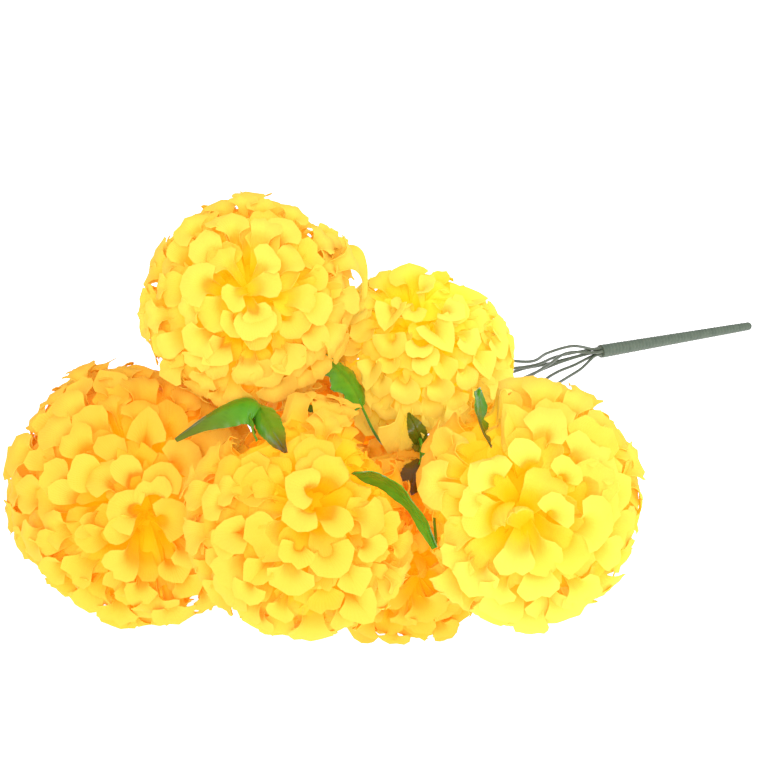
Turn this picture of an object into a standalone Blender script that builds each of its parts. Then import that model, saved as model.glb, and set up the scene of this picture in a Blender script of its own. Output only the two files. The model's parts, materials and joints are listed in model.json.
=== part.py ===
"""Cloth chrysanthemum bouquet that lies on its side.

Seven ball-shaped heads of pressed cloth petals sit in green cups on coated wires. The wires meet in
a tapered handle wrapped in tape, and glossy leaf sprays are pushed over them on sleeves.
Metres, +Z up. The bouquet lies on z = 0 with its handle towards +X. Places are measured from the
joint, the point on the floor below the thick end of the handle, and a parent empty moves the whole
so that the middle of its box is over the origin.
"""

import math
import random

import bmesh
import bpy
from mathutils import Vector

SEED = 7
CM = 0.01
MM = 0.001
SMALL_STEP = 0.02

# Middle of the finished bouquet's box, measured from the joint
BOX_MIDDLE = Vector((-13.02, -3.31, 0.0)) * CM

# Space kept between pieces that touch, and the thickness of a pressed petal and of a leaf
GAP = 0.3 * MM
PETAL_THICKNESS = 0.8 * MM
LEAF_THICKNESS = 0.8 * MM

# Handle: wires gathered in tape, from the joint to the tip
JOINT = Vector((0.0, 0.0, 2.7)) * CM
TIP = Vector((13.7, -2.7, 0.2)) * CM
THICK_END_RADIUS = 4.3 * MM
THIN_END_RADIUS = 2.8 * MM
THICK_END_CHAMFER = (0.6 * MM, 1.0 * MM)
HANDLE_SIDES = 12
HANDLE_BANDS = 8
TIP_BANDS = 5

# Wires under their plastic coat, and their places in the bundle at the joint
WIRE_RADIUS = 1.0 * MM
WIRE_PITCH = 2.6 * MM
WIRE_POINTS = 13

# Straight ends of a wire, where it leaves its cup and before it meets the handle
STRAIGHT_AT_CUP = 2 * MM
STRAIGHT_AT_HANDLE = 6 * MM

# Heads: place of the ball's middle in cm, the way it faces (azimuth, elevation in degrees), radius in cm
HEADS = {
    "a": ((-26.0, 2.9, 15.7), (-122, 42), 5.6),
    "b": ((-32.7, 4.2, 5.8), (-116, 26), 7.1),
    "c": ((-30.6, -7.1, 10.5), (-115, 48), 5.7),
    "d": ((-16.9, -0.4, 10.4), (-180, 81), 5.3),
    "e": ((-22.4, -13.6, 11.1), (-142, 26), 5.8),
    "f": ((-23.8, -7.2, 4.4), (-132, 20), 5.1),
    "g": ((-20.1, 4.0, 4.1), (-170, 25), 4.6),
}

# Petal rings from the pit outwards: angle from the way the head faces, count, reach as a share of the
# radius. The last rings cover the back of the ball round the cup.
RINGS = [(14, 3, 0.84), (34, 6, 0.92), (54, 8, 0.97), (75, 9, 1.0), (96, 8, 1.0), (117, 5, 0.96)]

# Way of each wire from the back of its head to the joint, in cm
ROUTES = {
    "a": [(-22.4, 7.4, 11.4), (-15.5, 5.2, 9.0), (-8.4, 0.2, 5.6), (-5.5, 0.5, 4.7), (-3.3, 0.4, 4.0),
          (-2.2, 0.3, 4.1), (-1.0, 0.2, 3.6)],
    "b": [(-29.0, 10.2, 3.4), (-22.5, 10.2, 3.0), (-15.5, 6.6, 4.4), (-7.3, 1.1, 4.1), (-4.4, 1.0, 3.5),
          (-2.0, 0.8, 3.1)],
    "c": [(-26.5, -2.8, 6.6), (-22.0, -2.6, 6.0), (-16.0, -2.8, 4.8), (-10.4, -0.9, 5.0), (-7.0, -0.5, 4.4),
          (-3.7, 0.3, 3.8), (-2.1, 0.4, 3.5)],
    "d": [(-15.2, -0.3, 4.6), (-12.0, 0.0, 4.3), (-6.9, 0.3, 3.7), (-3.9, 0.5, 3.2), (-1.9, 0.3, 3.0)],
    "e": [(-17.0, -9.4, 8.0), (-12.0, -5.4, 6.0), (-6.1, -1.4, 3.5), (-3.2, -0.7, 2.8)],
    "f": [(-19.0, -3.4, 2.2), (-13.0, -2.4, 2.6), (-5.9, -0.3, 3.2), (-3.2, 0.1, 2.7)],
    "g": [(-13.8, 4.0, 2.4), (-6.6, 1.7, 3.2), (-3.9, 1.4, 2.7)],
}

# Places round the middle of the bundle at the joint, in sixths of a turn from the top. Wire d is in
# the middle.
BUNDLE_SIXTHS = {"a": 0, "c": 1, "e": 2, "f": 3, "g": 4, "b": 5}

# Cups behind the heads, each with a blind hole for its wire. The seat is where the cup meets the head,
# as a share of the head's radius.
CUP_RADIUS = 15 * MM
CUP_NECK_RADIUS = 3.2 * MM
CUP_LENGTH = 20 * MM
CUP_SIDES = 8
BACK_OF_CUP = 0.9

# Outline of the bowl in front of the neck: its radius as a share of the cup's, and how far back in mm.
# The neck starts at NECK_FROM.
CUP_OUTLINE = ((0.9, 0.0), (1.0, 1.2), (0.82, 5.0), (0.45, 9.0))
NECK_FROM = 12 * MM
WIRE_HOLE_DEPTH = 8 * MM
WIRE_HOLE_GAP = 1.5 * GAP
SEAT_SHARE = 0.50

# Leaf sprays: the straight stretch of the wire where the sleeve sits, then its leaves. A leaf has the
# points of its stalk, the points of its blade, the width in cm, the curl of its section in degrees and
# its outline.
SLEEVE_LENGTH = 10 * MM
SLEEVE_WALL = 0.9 * MM
SLEEVE_GAP = 1.6 * GAP
STALK_RADIUS = 1.0 * MM
STALK_POINTS = 5
STALK_INTO_LEAF = 0.12
SPRAYS = {
    "a": (1, [
        ([(-22.2, 8.6, 11.6)],
         [(-21.6, 10.0, 12.4), (-21.6, 11.6, 13.6), (-22.4, 12.6, 15.4)], 2.6, 50, "plain"),
        ([(-22.2, 9.0, 10.6)],
         [(-20.8, 9.8, 10.0), (-18.6, 10.6, 9.8), (-16.6, 10.6, 8.6)], 2.4, 40, "lobed"),
    ]),
    "b": (1, [
        ([(-29.4, 11.6, 3.8)],
         [(-28.8, 12.1, 4.2), (-27.4, 12.4, 4.4), (-25.6, 11.6, 5.0)], 2.4, 50, "plain"),
        ([(-30.8, 11.4, 2.6)],
         [(-31.6, 11.9, 2.5), (-33.4, 12.4, 2.4), (-35.2, 12.0, 2.8)], 2.4, 40, "plain"),
    ]),
    "c": (1, [
        ([(-28.1, -1.4, 8.2), (-28.2, -1.3, 10.8)],
         [(-29.2, -2.4, 13.2), (-29.0, -1.9, 15.2), (-33.1, -0.5, 12.6)], 3.4, 150, "plain"),
        ([(-28.0, -1.6, 8.4), (-28.2, -1.6, 11.2)],
         [(-29.1, -1.8, 13.4), (-30.7, -4.7, 14.9), (-31.9, -7.7, 15.4)], 1.5, 120, "plain"),
        ([(-28.4, -1.5, 8.6), (-28.6, -1.5, 11.2)],
         [(-29.5, -1.8, 13.2), (-30.5, -2.9, 13.5), (-31.3, -4.7, 14.0)], 1.0, 60, "plain"),
        ([(-28.1, -1.5, 8.4), (-27.3, -1.8, 9.6)],
         [(-26.5, -2.3, 10.6), (-26.4, -2.9, 12.3), (-25.2, -2.4, 12.1)], 1.7, 50, "lobed"),
    ]),
    "d": (1, [
        ([(-18.5, -1.6, 5.7), (-21.6, -2.6, 7.6)],
         [(-23.0, -2.5, 10.7), (-22.9, -1.7, 12.3), (-23.7, 0.2, 12.9)], 3.4, 40, "lobed"),
        ([(-18.7, -1.9, 5.4), (-21.4, -5.2, 9.4), (-24.4, -9.2, 9.9)],
         [(-27.5, -12.8, 10.6), (-27.0, -9.9, 13.1), (-29.3, -9.2, 13.8)], 1.45, 60, "band"),
        ([(-18.7, -1.8, 5.8)],
         [(-21.2, -5.3, 8.8), (-22.1, -5.7, 10.6), (-21.3, -4.2, 10.4)], 1.0, 40, "plain"),
        ([(-18.7, -1.8, 5.8)],
         [(-21.4, -4.7, 8.7), (-22.1, -6.4, 10.4), (-21.1, -6.5, 8.9)], 1.1, 40, "plain"),
        ([(-18.7, -1.8, 5.8), (-21.0, -4.8, 8.8)],
         [(-22.7, -6.7, 9.5), (-24.3, -7.9, 9.9), (-24.8, -7.9, 9.0)], 1.5, 50, "plain"),
    ]),
    "e": (1, [
        ([(-18.6, -8.8, 9.6), (-20.2, -8.4, 12.6)],
         [(-21.8, -9.7, 15.0), (-23.5, -10.9, 14.8), (-24.8, -13.3, 15.3)], 1.3, 60, "plain"),
        ([(-16.2, -10.2, 8.0)],
         [(-16.2, -11.4, 7.4), (-16.4, -13.4, 6.6), (-17.6, -15.4, 6.2)], 2.2, 50, "lobed"),
    ]),
}

# Places from which a head's petals are pushed aside, in cm
PUSHED = {
    "c": ((-25.4, -5.4, 10.8), (-26.7, -6.7, 11.8), (-27.9, -8.1, 12.8), (-29.7, -6.9, 16.2)),
    "d": ((-21.9, -0.7, 11.3),),
}


def aim(azimuth, elevation):
    """Unit vector from an azimuth and an elevation in degrees."""
    turn = math.radians(azimuth)
    rise = math.radians(elevation)
    return Vector((math.cos(rise) * math.cos(turn), math.cos(rise) * math.sin(turn), math.sin(rise)))


def middle_of(head):
    return Vector(HEADS[head][0]) * CM


def facing(head):
    return aim(*HEADS[head][1])


def radius_of(head):
    return HEADS[head][2] * CM


def across(axis):
    """Two unit vectors square to an axis."""
    first = axis.cross(Vector((0, 0, 1)))
    if first.length < 0.2:
        first = axis.cross(Vector((0, 1, 0)))
    first.normalize()
    return first, first.cross(axis)


def smooth_path(points, count):
    """Points at even steps of a Catmull-Rom curve, whose first and last points only guide its ends."""
    fine = []
    for i in range(1, len(points) - 2):
        before, start, end, after = points[i - 1:i + 3]
        for step in range(16):
            t = step / 16
            fine.append(0.5 * (2 * start + (end - before) * t
                               + (2 * before - 5 * start + 4 * end - after) * t * t
                               + (3 * start - before - 3 * end + after) * t ** 3))
    fine.append(points[-2])
    lengths = [0.0]
    for a, b in zip(fine, fine[1:]):
        lengths.append(lengths[-1] + (b - a).length)
    result = []
    k = 0
    for i in range(count):
        want = lengths[-1] * i / (count - 1)
        while k < len(fine) - 2 and lengths[k + 1] < want:
            k += 1
        share = (want - lengths[k]) / max(lengths[k + 1] - lengths[k], 1e-9)
        result.append(fine[k].lerp(fine[k + 1], min(share, 1.0)))
    return result


def bezier(points, t):
    """Point at t on the curve through the ends of three points, drawn by the middle one."""
    start, middle, end = points
    return start * (1 - t) ** 2 + middle * 2 * t * (1 - t) + end * t * t


def along_bezier(points, t):
    """Unit vector along that curve at t."""
    return (bezier(points, t + SMALL_STEP) - bezier(points, t - SMALL_STEP)).normalized()


def add_material(name, colour, roughness):
    material = bpy.data.materials.new(name)
    material.use_nodes = True
    shader = material.node_tree.nodes["Principled BSDF"]
    shader.inputs["Base Color"].default_value = (*colour, 1)
    shader.inputs["Roughness"].default_value = roughness
    return material


def link(obj, collection):
    collection.objects.link(obj)
    return obj


def add_mesh(name, bm, collection):
    mesh = bpy.data.meshes.new(name)
    bm.to_mesh(mesh)
    bm.free()
    return link(bpy.data.objects.new(name, mesh), collection)


def evaluated_mesh(obj):
    """A plain mesh of an object as its modifiers leave it."""
    graph = bpy.context.evaluated_depsgraph_get()
    return bpy.data.meshes.new_from_object(obj.evaluated_get(graph))


def replace_mesh(obj):
    """Applies an object's modifiers."""
    mesh = evaluated_mesh(obj)
    obj.modifiers.clear()
    obj.data = mesh


def remove_collection(collection):
    for obj in list(collection.objects):
        bpy.data.objects.remove(obj, do_unlink=True)
    bpy.data.collections.remove(collection)


def new_collection(name):
    collection = bpy.data.collections.new(name)
    bpy.context.scene.collection.children.link(collection)
    return collection


def tube(name, points, radius, collection, resolution=2):
    """A closed mesh tube along points, made as a curve with filled caps."""
    curve = bpy.data.curves.new(name, "CURVE")
    curve.dimensions = "3D"
    curve.bevel_depth = radius
    curve.bevel_resolution = resolution
    curve.use_fill_caps = True
    spline = curve.splines.new("POLY")
    spline.points.add(len(points) - 1)
    for point, place in zip(spline.points, points):
        point.co = (*place, 1)
    drawn = link(bpy.data.objects.new(name + "_curve", curve), collection)
    mesh = evaluated_mesh(drawn)
    bpy.data.objects.remove(drawn, do_unlink=True)
    bm = bmesh.new()
    bm.from_mesh(mesh)
    bmesh.ops.remove_doubles(bm, verts=bm.verts, dist=0.01 * MM)
    bmesh.ops.recalc_face_normals(bm, faces=bm.faces)
    return add_mesh(name, bm, collection)


def fuse(base, operands):
    """Joins every object of a collection to the base in one Boolean union."""
    union = base.modifiers.new("union", "BOOLEAN")
    union.operation = "UNION"
    union.operand_type = "COLLECTION"
    union.collection = operands
    union.solver = "MANIFOLD"
    replace_mesh(base)
    remove_collection(operands)


def cut(base, cutter):
    """Cuts one object by another and removes the cutter."""
    difference = base.modifiers.new("cut", "BOOLEAN")
    difference.operation = "DIFFERENCE"
    difference.object = cutter
    difference.solver = "MANIFOLD"
    replace_mesh(base)
    bpy.data.objects.remove(cutter, do_unlink=True)


def cut_at_floor(obj):
    """Takes off what would reach below the floor, which leaves small flat spots to rest on."""
    bm = bmesh.new()
    bmesh.ops.create_cube(bm, size=FLOOR_CUTTER_SIZE)
    bmesh.ops.translate(bm, verts=bm.verts, vec=(0, 0, -FLOOR_CUTTER_SIZE / 2))
    cut(obj, add_mesh("floor_cutter", bm, bpy.context.scene.collection))


def keep_largest_piece(obj):
    """Drops loose scraps and sealed hollows that a union can leave, and keeps the outer body."""
    bm = bmesh.new()
    bm.from_mesh(obj.data)
    bmesh.ops.remove_doubles(bm, verts=bm.verts, dist=0.0005 * MM)
    bmesh.ops.triangulate(bm, faces=bm.faces)
    unseen = set(bm.verts)
    islands = []
    while unseen:
        front = [unseen.pop()]
        island = set(front)
        while front:
            for edge in front.pop().link_edges:
                for vert in edge.verts:
                    if vert in unseen:
                        unseen.discard(vert)
                        island.add(vert)
                        front.append(vert)
        islands.append(island)
    largest = max(islands, key=len)
    loose = [vert for vert in bm.verts if vert not in largest]
    bmesh.ops.delete(bm, geom=loose, context="VERTS")
    bm.to_mesh(obj.data)
    bm.free()


# Room round each head: neighbours, the floor and the leaves that lie over it. Petals start to give way
# at SOFT_FROM of the distance to a wall. Below a leaf they stay LEAF_ROOM lower than its midrib, and
# past its side the room narrows by LEAF_ROOM_SLOPE. The side lies at half the width times the sine of
# half the curl and LEAF_OPENS. The heads named last rest on the floor.
SOFT_FROM = 0.5
FLOOR_SINK = 3 * MM
FLOOR_CUTTER_SIZE = 1.5
WALL_GAP = 1.0 * MM
LEAF_ROOM = 6.5 * MM
LEAF_SIDE_ROOM = 6 * MM
LEAF_ROOM_SLOPE = 1.6
LEAF_OPENS = 0.6
LEAF_NEAR = 3 * MM
LEAF_MARKS = 6
STALK_MARKS = 3
HEADS_ON_FLOOR = "bfg"


def walls_of(head):
    """Planes that the head's petals stop at: (way towards the wall, its distance)."""
    place = middle_of(head)
    walls = [(Vector((0, 0, -1)), place.z + FLOOR_SINK)]
    for other in HEADS:
        if other != head:
            way = middle_of(other) - place
            both = radius_of(head) + radius_of(other)
            walls.append((way.normalized(), way.length * radius_of(head) / both - WALL_GAP))
    return [wall for wall in walls if wall[1] < radius_of(head)]


def leaf_marks(head):
    """Points on the leaves near a head, from its middle, with the half width kept free there."""
    marks = []
    for _, leaves in SPRAYS.values():
        for stalk, blade, width, curl, _ in leaves:
            points = [Vector(p) * CM for p in blade]
            half = 0.5 * width * CM * math.sin(math.radians(curl) / 2 + LEAF_OPENS)
            for step in range(LEAF_MARKS + 1):
                share = step / LEAF_MARKS
                mark = bezier(points, share) - middle_of(head)
                if mark.length < radius_of(head) + LEAF_NEAR:
                    marks.append((mark, half * (1.0 - abs(share - 0.5))))
            for start, end in zip(stalk, stalk[1:] + [blade[0]]):
                for step in range(STALK_MARKS + 1):
                    mark = Vector(start).lerp(Vector(end), step / STALK_MARKS) * CM - middle_of(head)
                    if mark.length < radius_of(head) + LEAF_NEAR:
                        marks.append((mark, STALK_RADIUS))
    marks += [(Vector(place) * CM - middle_of(head), STALK_RADIUS) for place in PUSHED.get(head, ())]
    return marks


def make_room(offset, radius, walls, marks):
    """Bends a petal point, given from the head's middle, clear of walls and leaves."""
    for mark, half in marks:
        reach = offset.length
        if reach < 1 * MM or offset.dot(mark) <= 0:
            continue
        beside = (offset - mark * (offset.dot(mark) / mark.length_squared)).length
        limit = mark.length - LEAF_ROOM + max(0.0, beside - half - LEAF_SIDE_ROOM) * LEAF_ROOM_SLOPE
        if reach > limit:
            offset = offset * (limit / reach)
    for way, distance in walls:
        along = offset.dot(way)
        start = SOFT_FROM * distance
        if along > start:
            pressed = along - (radius - distance) * ((along - start) / (radius - start)) ** 2
            offset = offset + way * (min(pressed, distance) - along)
    return offset


# Petals and their core. A petal is a fan of triangles round its middle, and its points are shares of
# its half width and of its length.
CORE_RADIUS_SHARE = 0.42
CORE_SEGMENTS = 10
CORE_RINGS = 6
PETAL_MIDDLE = (0.0, 0.66)
PETAL_EDGE = ((0.0, 0.0), (1.0, 0.66), (0.5, 1.0), (-0.5, 1.0), (-1.0, 0.66))

# A petal's midrib: how deep in the ball it starts and how high its middle comes, as shares of the
# radius, how far back these lie in degrees, and how far its end leans over the pit
PETAL_ROOT_SHARE = 0.22
PETAL_ROOT_BACK = 10
PETAL_MIDDLE_SHARE = 0.80
PETAL_MIDDLE_BACK = 8
PETAL_LEAN = (4, 9)
PETAL_TWIST = 0.12
PETAL_CUP = (0.28, 0.38)

# How a ring is laid: widest half petal, the step back and forth of every second petal in degrees, the
# draw of its place as a share of the spacing, and the draw of its reach
WIDEST_HALF_PETAL = 15 * MM
RING_STAGGER = 4
PLACE_DRAW = 0.06
REACH_DRAW = (0.95, 1.0)


def make_petal(head, ring_angle, turn, reach, half_width, name, collection, walls, marks, draw):
    """One cupped petal: a fan of faces that rises from the core and leans in over the pit at its end."""
    axis = facing(head)
    side_a, side_b = across(axis)
    outward = side_a * math.cos(turn) + side_b * math.sin(turn)
    sideways = axis.cross(outward)
    radius = radius_of(head)

    def on_meridian(angle, share):
        bend = math.radians(angle)
        return (axis * math.cos(bend) + outward * math.sin(bend)) * radius * share

    lean = draw.uniform(*PETAL_LEAN)
    curve = (
        on_meridian(ring_angle + PETAL_ROOT_BACK, PETAL_ROOT_SHARE),
        on_meridian(ring_angle + PETAL_MIDDLE_BACK, PETAL_MIDDLE_SHARE * reach),
        on_meridian(ring_angle - lean, reach),
    )
    twist = draw.uniform(-PETAL_TWIST, PETAL_TWIST)
    cup = draw.uniform(*PETAL_CUP)
    bm = bmesh.new()
    bmesh.ops.create_circle(bm, segments=len(PETAL_EDGE), radius=1, cap_ends=True, cap_tris=True)
    for vert in bm.verts:
        if vert.co.length < 0.5:
            s, t = PETAL_MIDDLE
        else:
            corner = round(math.atan2(vert.co.x, vert.co.y) / math.tau * len(PETAL_EDGE))
            s, t = PETAL_EDGE[corner % len(PETAL_EDGE)]
        tangent = along_bezier(curve, t)
        inward = sideways.cross(tangent)
        rise = cup * s * s * half_width
        place = bezier(curve, t) + sideways * (s * half_width) + inward * (rise + twist * s * half_width)
        vert.co = make_room(place, radius, walls, marks)
    bmesh.ops.translate(bm, verts=bm.verts, vec=middle_of(head))
    petal = add_mesh(name, bm, collection)
    thick = petal.modifiers.new("thickness", "SOLIDIFY")
    thick.thickness = PETAL_THICKNESS
    thick.offset = 0
    replace_mesh(petal)
    return petal


def seat_of(head):
    """Point on the head's axis where the flat back of the core meets its cup."""
    return middle_of(head) - facing(head) * (SEAT_SHARE * radius_of(head))


def make_bloom(head, collection, material):
    """Core ball with a flat back, and the rings of petals that stand out of it."""
    draw = random.Random(SEED + ord(head))
    radius = radius_of(head)
    core_radius = CORE_RADIUS_SHARE * radius
    bm = bmesh.new()
    bmesh.ops.create_uvsphere(bm, u_segments=CORE_SEGMENTS, v_segments=CORE_RINGS, radius=core_radius)
    for vert in bm.verts:
        if vert.co.z < 0:
            vert.co.z *= SEAT_SHARE / CORE_RADIUS_SHARE
    bmesh.ops.rotate(bm, verts=bm.verts, matrix=facing(head).to_track_quat("Z", "Y").to_matrix())
    bmesh.ops.translate(bm, verts=bm.verts, vec=middle_of(head))
    bloom = add_mesh("bloom_" + head, bm, collection)
    petals = new_collection("petals_" + head)
    walls = walls_of(head)
    marks = leaf_marks(head)
    for ring_number, (angle, count, reach) in enumerate(RINGS):
        spacing = 2 * math.pi * radius * reach * math.sin(math.radians(angle)) / count
        half_width = min(0.5 * spacing, WIDEST_HALF_PETAL)
        first = draw.uniform(0, 2 * math.pi)
        for i in range(count):
            stagger = RING_STAGGER if i % 2 else -RING_STAGGER
            turn = first + 2 * math.pi * (i + draw.uniform(-PLACE_DRAW, PLACE_DRAW)) / count
            make_petal(head, angle + stagger, turn, reach * draw.uniform(*REACH_DRAW), half_width,
                       f"petal_{head}_{ring_number}_{i}", petals, walls, marks, draw)
    fuse(bloom, petals)
    if head in HEADS_ON_FLOOR:
        cut_at_floor(bloom)
    keep_largest_piece(bloom)
    bloom.data.materials.append(material)
    return bloom


def turned(name, profile, axis, place, steps, collection):
    """Solid turned from a profile of (radius, height) pairs, listed from its top to its bottom."""
    bm = bmesh.new()
    verts = [bm.verts.new((r, 0, z)) for r, z in profile]
    for a, b in zip(verts, verts[1:]):
        bm.edges.new((a, b))
    shape = add_mesh(name, bm, collection)
    screw = shape.modifiers.new("turn", "SCREW")
    screw.angle = 2 * math.pi
    screw.steps = steps
    screw.render_steps = steps
    screw.use_merge_vertices = True
    screw.merge_threshold = 0.00001
    replace_mesh(shape)
    bm = bmesh.new()
    bm.from_mesh(shape.data)
    bmesh.ops.remove_doubles(bm, verts=bm.verts, dist=0.01 * MM)
    bmesh.ops.recalc_face_normals(bm, faces=bm.faces)
    bmesh.ops.rotate(bm, verts=bm.verts, matrix=axis.to_track_quat("Z", "Y").to_matrix())
    bmesh.ops.translate(bm, verts=bm.verts, vec=place)
    bm.to_mesh(shape.data)
    bm.free()
    return shape


def make_calyx(head, collection, material):
    """Cup with a rounded rim and a narrow neck, with a blind hole for the wire."""
    back = -facing(head)
    hole = WIRE_RADIUS + WIRE_HOLE_GAP
    floor = CUP_LENGTH - WIRE_HOLE_DEPTH
    profile = [(0.0, 0.0)] + [(CUP_RADIUS * share, -depth * MM) for share, depth in CUP_OUTLINE]
    profile += [(CUP_NECK_RADIUS, -NECK_FROM), (CUP_NECK_RADIUS * BACK_OF_CUP, -CUP_LENGTH)]
    profile += [(hole, -CUP_LENGTH), (hole, -floor), (0.0, -floor)]
    place = seat_of(head) + back * GAP
    cup = turned("calyx_" + head, profile, -back, place, CUP_SIDES, collection)
    cup.data.materials.append(material)
    return cup


def wire_points(head):
    """Middle line of a head's wire, from inside its cup to the end of the handle."""
    back = -facing(head)
    start = seat_of(head) + back * (CUP_LENGTH - WIRE_HOLE_DEPTH + 2 * GAP)
    leave = seat_of(head) + back * (CUP_LENGTH + STRAIGHT_AT_CUP)
    along = (TIP - JOINT).normalized()
    level = along.cross(Vector((0, 0, 1))).normalized()
    upright = level.cross(along)
    end = JOINT - along * GAP
    if head in BUNDLE_SIXTHS:
        turn = math.radians(60 * BUNDLE_SIXTHS[head])
        end = end + (upright * math.cos(turn) + level * math.sin(turn)) * WIRE_PITCH
    guides = [start, leave] + [Vector(p) * CM for p in ROUTES[head]] + [end - along * STRAIGHT_AT_HANDLE, end]
    return [start] + smooth_path(guides, WIRE_POINTS) + [end]


def make_stem(head, collection, material):
    wire = tube("stem_" + head, wire_points(head), WIRE_RADIUS, collection)
    wire.data.materials.append(material)
    return wire


def make_handle(collection, material):
    """Tapered round handle with a rounded tip, flat where its tip lies on the floor."""
    length = (TIP - JOINT).length
    inset, depth = THICK_END_CHAMFER
    profile = [(0.0, 0.0), (THICK_END_RADIUS - inset, 0.0), (THICK_END_RADIUS, -depth)]
    for i in range(1, HANDLE_BANDS + 1):
        share = i / HANDLE_BANDS
        radius = THICK_END_RADIUS + (THIN_END_RADIUS - THICK_END_RADIUS) * share
        profile.append((radius, -depth - (length - depth - THIN_END_RADIUS) * share))
    for i in range(1, TIP_BANDS):
        turn = math.pi / 2 * i / TIP_BANDS
        reach = length - THIN_END_RADIUS * (1 - math.sin(turn))
        profile.append((THIN_END_RADIUS * math.cos(turn), -reach))
    profile.append((0.0, -length))
    handle = turned("handle", profile, (JOINT - TIP).normalized(), JOINT, HANDLE_SIDES, collection)
    cut_at_floor(handle)
    keep_largest_piece(handle)
    handle.data.materials.append(material)
    return handle


# Half width of a leaf at even stations, as a share of the widest
LEAF_OUTLINES = {
    "plain": (0.22, 0.85, 0.95, 0.80, 0.50, 0.06),
    "lobed": (0.25, 0.95, 0.50, 1.00, 0.48, 0.90, 0.10),
    "band": (0.40, 0.55, 0.62, 0.80, 1.00, 0.85, 0.25),
}


def make_leaf(points, width, curl, widths, name, collection):
    """Waved blade along a bent midrib, rolled about it by the curl."""
    points = [Vector(p) * CM for p in points]
    chord = points[2] - points[0]
    normal = chord.cross(points[1] - points[0]).normalized()
    bend_side = normal.cross(chord).normalized()
    if bend_side.dot(points[1] - points[0]) < 0:
        bend_side = -bend_side
    half_curl = math.radians(curl) / 2
    bm = bmesh.new()
    bmesh.ops.create_grid(bm, x_segments=2, y_segments=len(widths) - 1, size=1)
    for vert in bm.verts:
        s = vert.co.x
        t = (vert.co.y + 1) / 2
        station = round(t * (len(widths) - 1))
        place = bezier(points, t)
        tangent = along_bezier(points, t)
        top = normal.cross(tangent).normalized()
        if top.dot(bend_side) < 0:
            top = -top
        half = widths[station] * width * CM / 2
        roll = half_curl * s
        bow = half / half_curl
        vert.co = place + normal * (bow * math.sin(roll)) - top * (bow * (1 - math.cos(roll)))
    bmesh.ops.triangulate(bm, faces=bm.faces)
    leaf = add_mesh(name, bm, collection)
    thick = leaf.modifiers.new("thickness", "SOLIDIFY")
    thick.thickness = LEAF_THICKNESS
    thick.offset = 0
    replace_mesh(leaf)
    return leaf


def make_spray(head, collection, material):
    """Sleeve round the wire, with its stalks and leaves fused to it."""
    stretch, leaves = SPRAYS[head]
    before, after = wire_points(head)[stretch:stretch + 2]
    root = (before + after) / 2
    half = (after - before).normalized() * (SLEEVE_LENGTH / 2)
    inner = WIRE_RADIUS + SLEEVE_GAP
    sleeve = tube("leaf_" + head, [root - half, root + half], inner + SLEEVE_WALL, collection, resolution=1)
    blades = new_collection("blades_" + head)
    for number, (stalk, blade, width, curl, outline) in enumerate(leaves):
        inside = bezier([Vector(p) * CM for p in blade], STALK_INTO_LEAF)
        points = [Vector(p) * CM for p in stalk] + [Vector(blade[0]) * CM, inside]
        points = [root * 2 - points[0], root] + points + [inside]
        tube(f"stalk_{head}_{number}", smooth_path(points, STALK_POINTS), STALK_RADIUS, blades, resolution=0)
        make_leaf(blade, width, curl, LEAF_OUTLINES[outline], f"blade_{head}_{number}", blades)
    fuse(sleeve, blades)
    bore = tube("bore", [root - half * 2, root + half * 2], inner, collection, resolution=1)
    cut(sleeve, bore)
    keep_largest_piece(sleeve)
    sleeve.data.materials.append(material)
    return sleeve


def main():
    for obj in list(bpy.data.objects):
        bpy.data.objects.remove(obj, do_unlink=True)
    bouquet = new_collection("bouquet")
    whole = link(bpy.data.objects.new("bouquet_middle", None), bouquet)
    whole.location = -BOX_MIDDLE
    petal_cloth = add_material("yellow petal cloth", (0.98, 0.72, 0.03), 0.7)
    cup_plastic = add_material("green cup plastic", (0.13, 0.30, 0.05), 0.4)
    leaf_plastic = add_material("glossy leaf plastic", (0.10, 0.33, 0.04), 0.3)
    wire_coat = add_material("wire coat", (0.15, 0.19, 0.13), 0.5)
    tape = add_material("stem tape", (0.16, 0.22, 0.15), 0.8)
    pieces = [make_handle(bouquet, tape)]
    for head in HEADS:
        pieces.append(make_stem(head, bouquet, wire_coat))
        pieces.append(make_calyx(head, bouquet, cup_plastic))
        pieces.append(make_bloom(head, bouquet, petal_cloth))
        if head in SPRAYS:
            pieces.append(make_spray(head, bouquet, leaf_plastic))
    for piece in pieces:
        piece.parent = whole


main()
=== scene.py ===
"""Looks of a cloth chrysanthemum bouquet: seven heads of pressed petals, glossy leaves, coated wires
and a taped handle, on a white table under soft light.

The pieces stand where the frame's nodes are. Places are given in centimetres from the foot, the point on
the table below the thick end of the handle, and row() moves them into the frame.
"""

import json
import math
import random

import bmesh
import bpy
import numpy as np
from mathutils import Matrix, Vector

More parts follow.
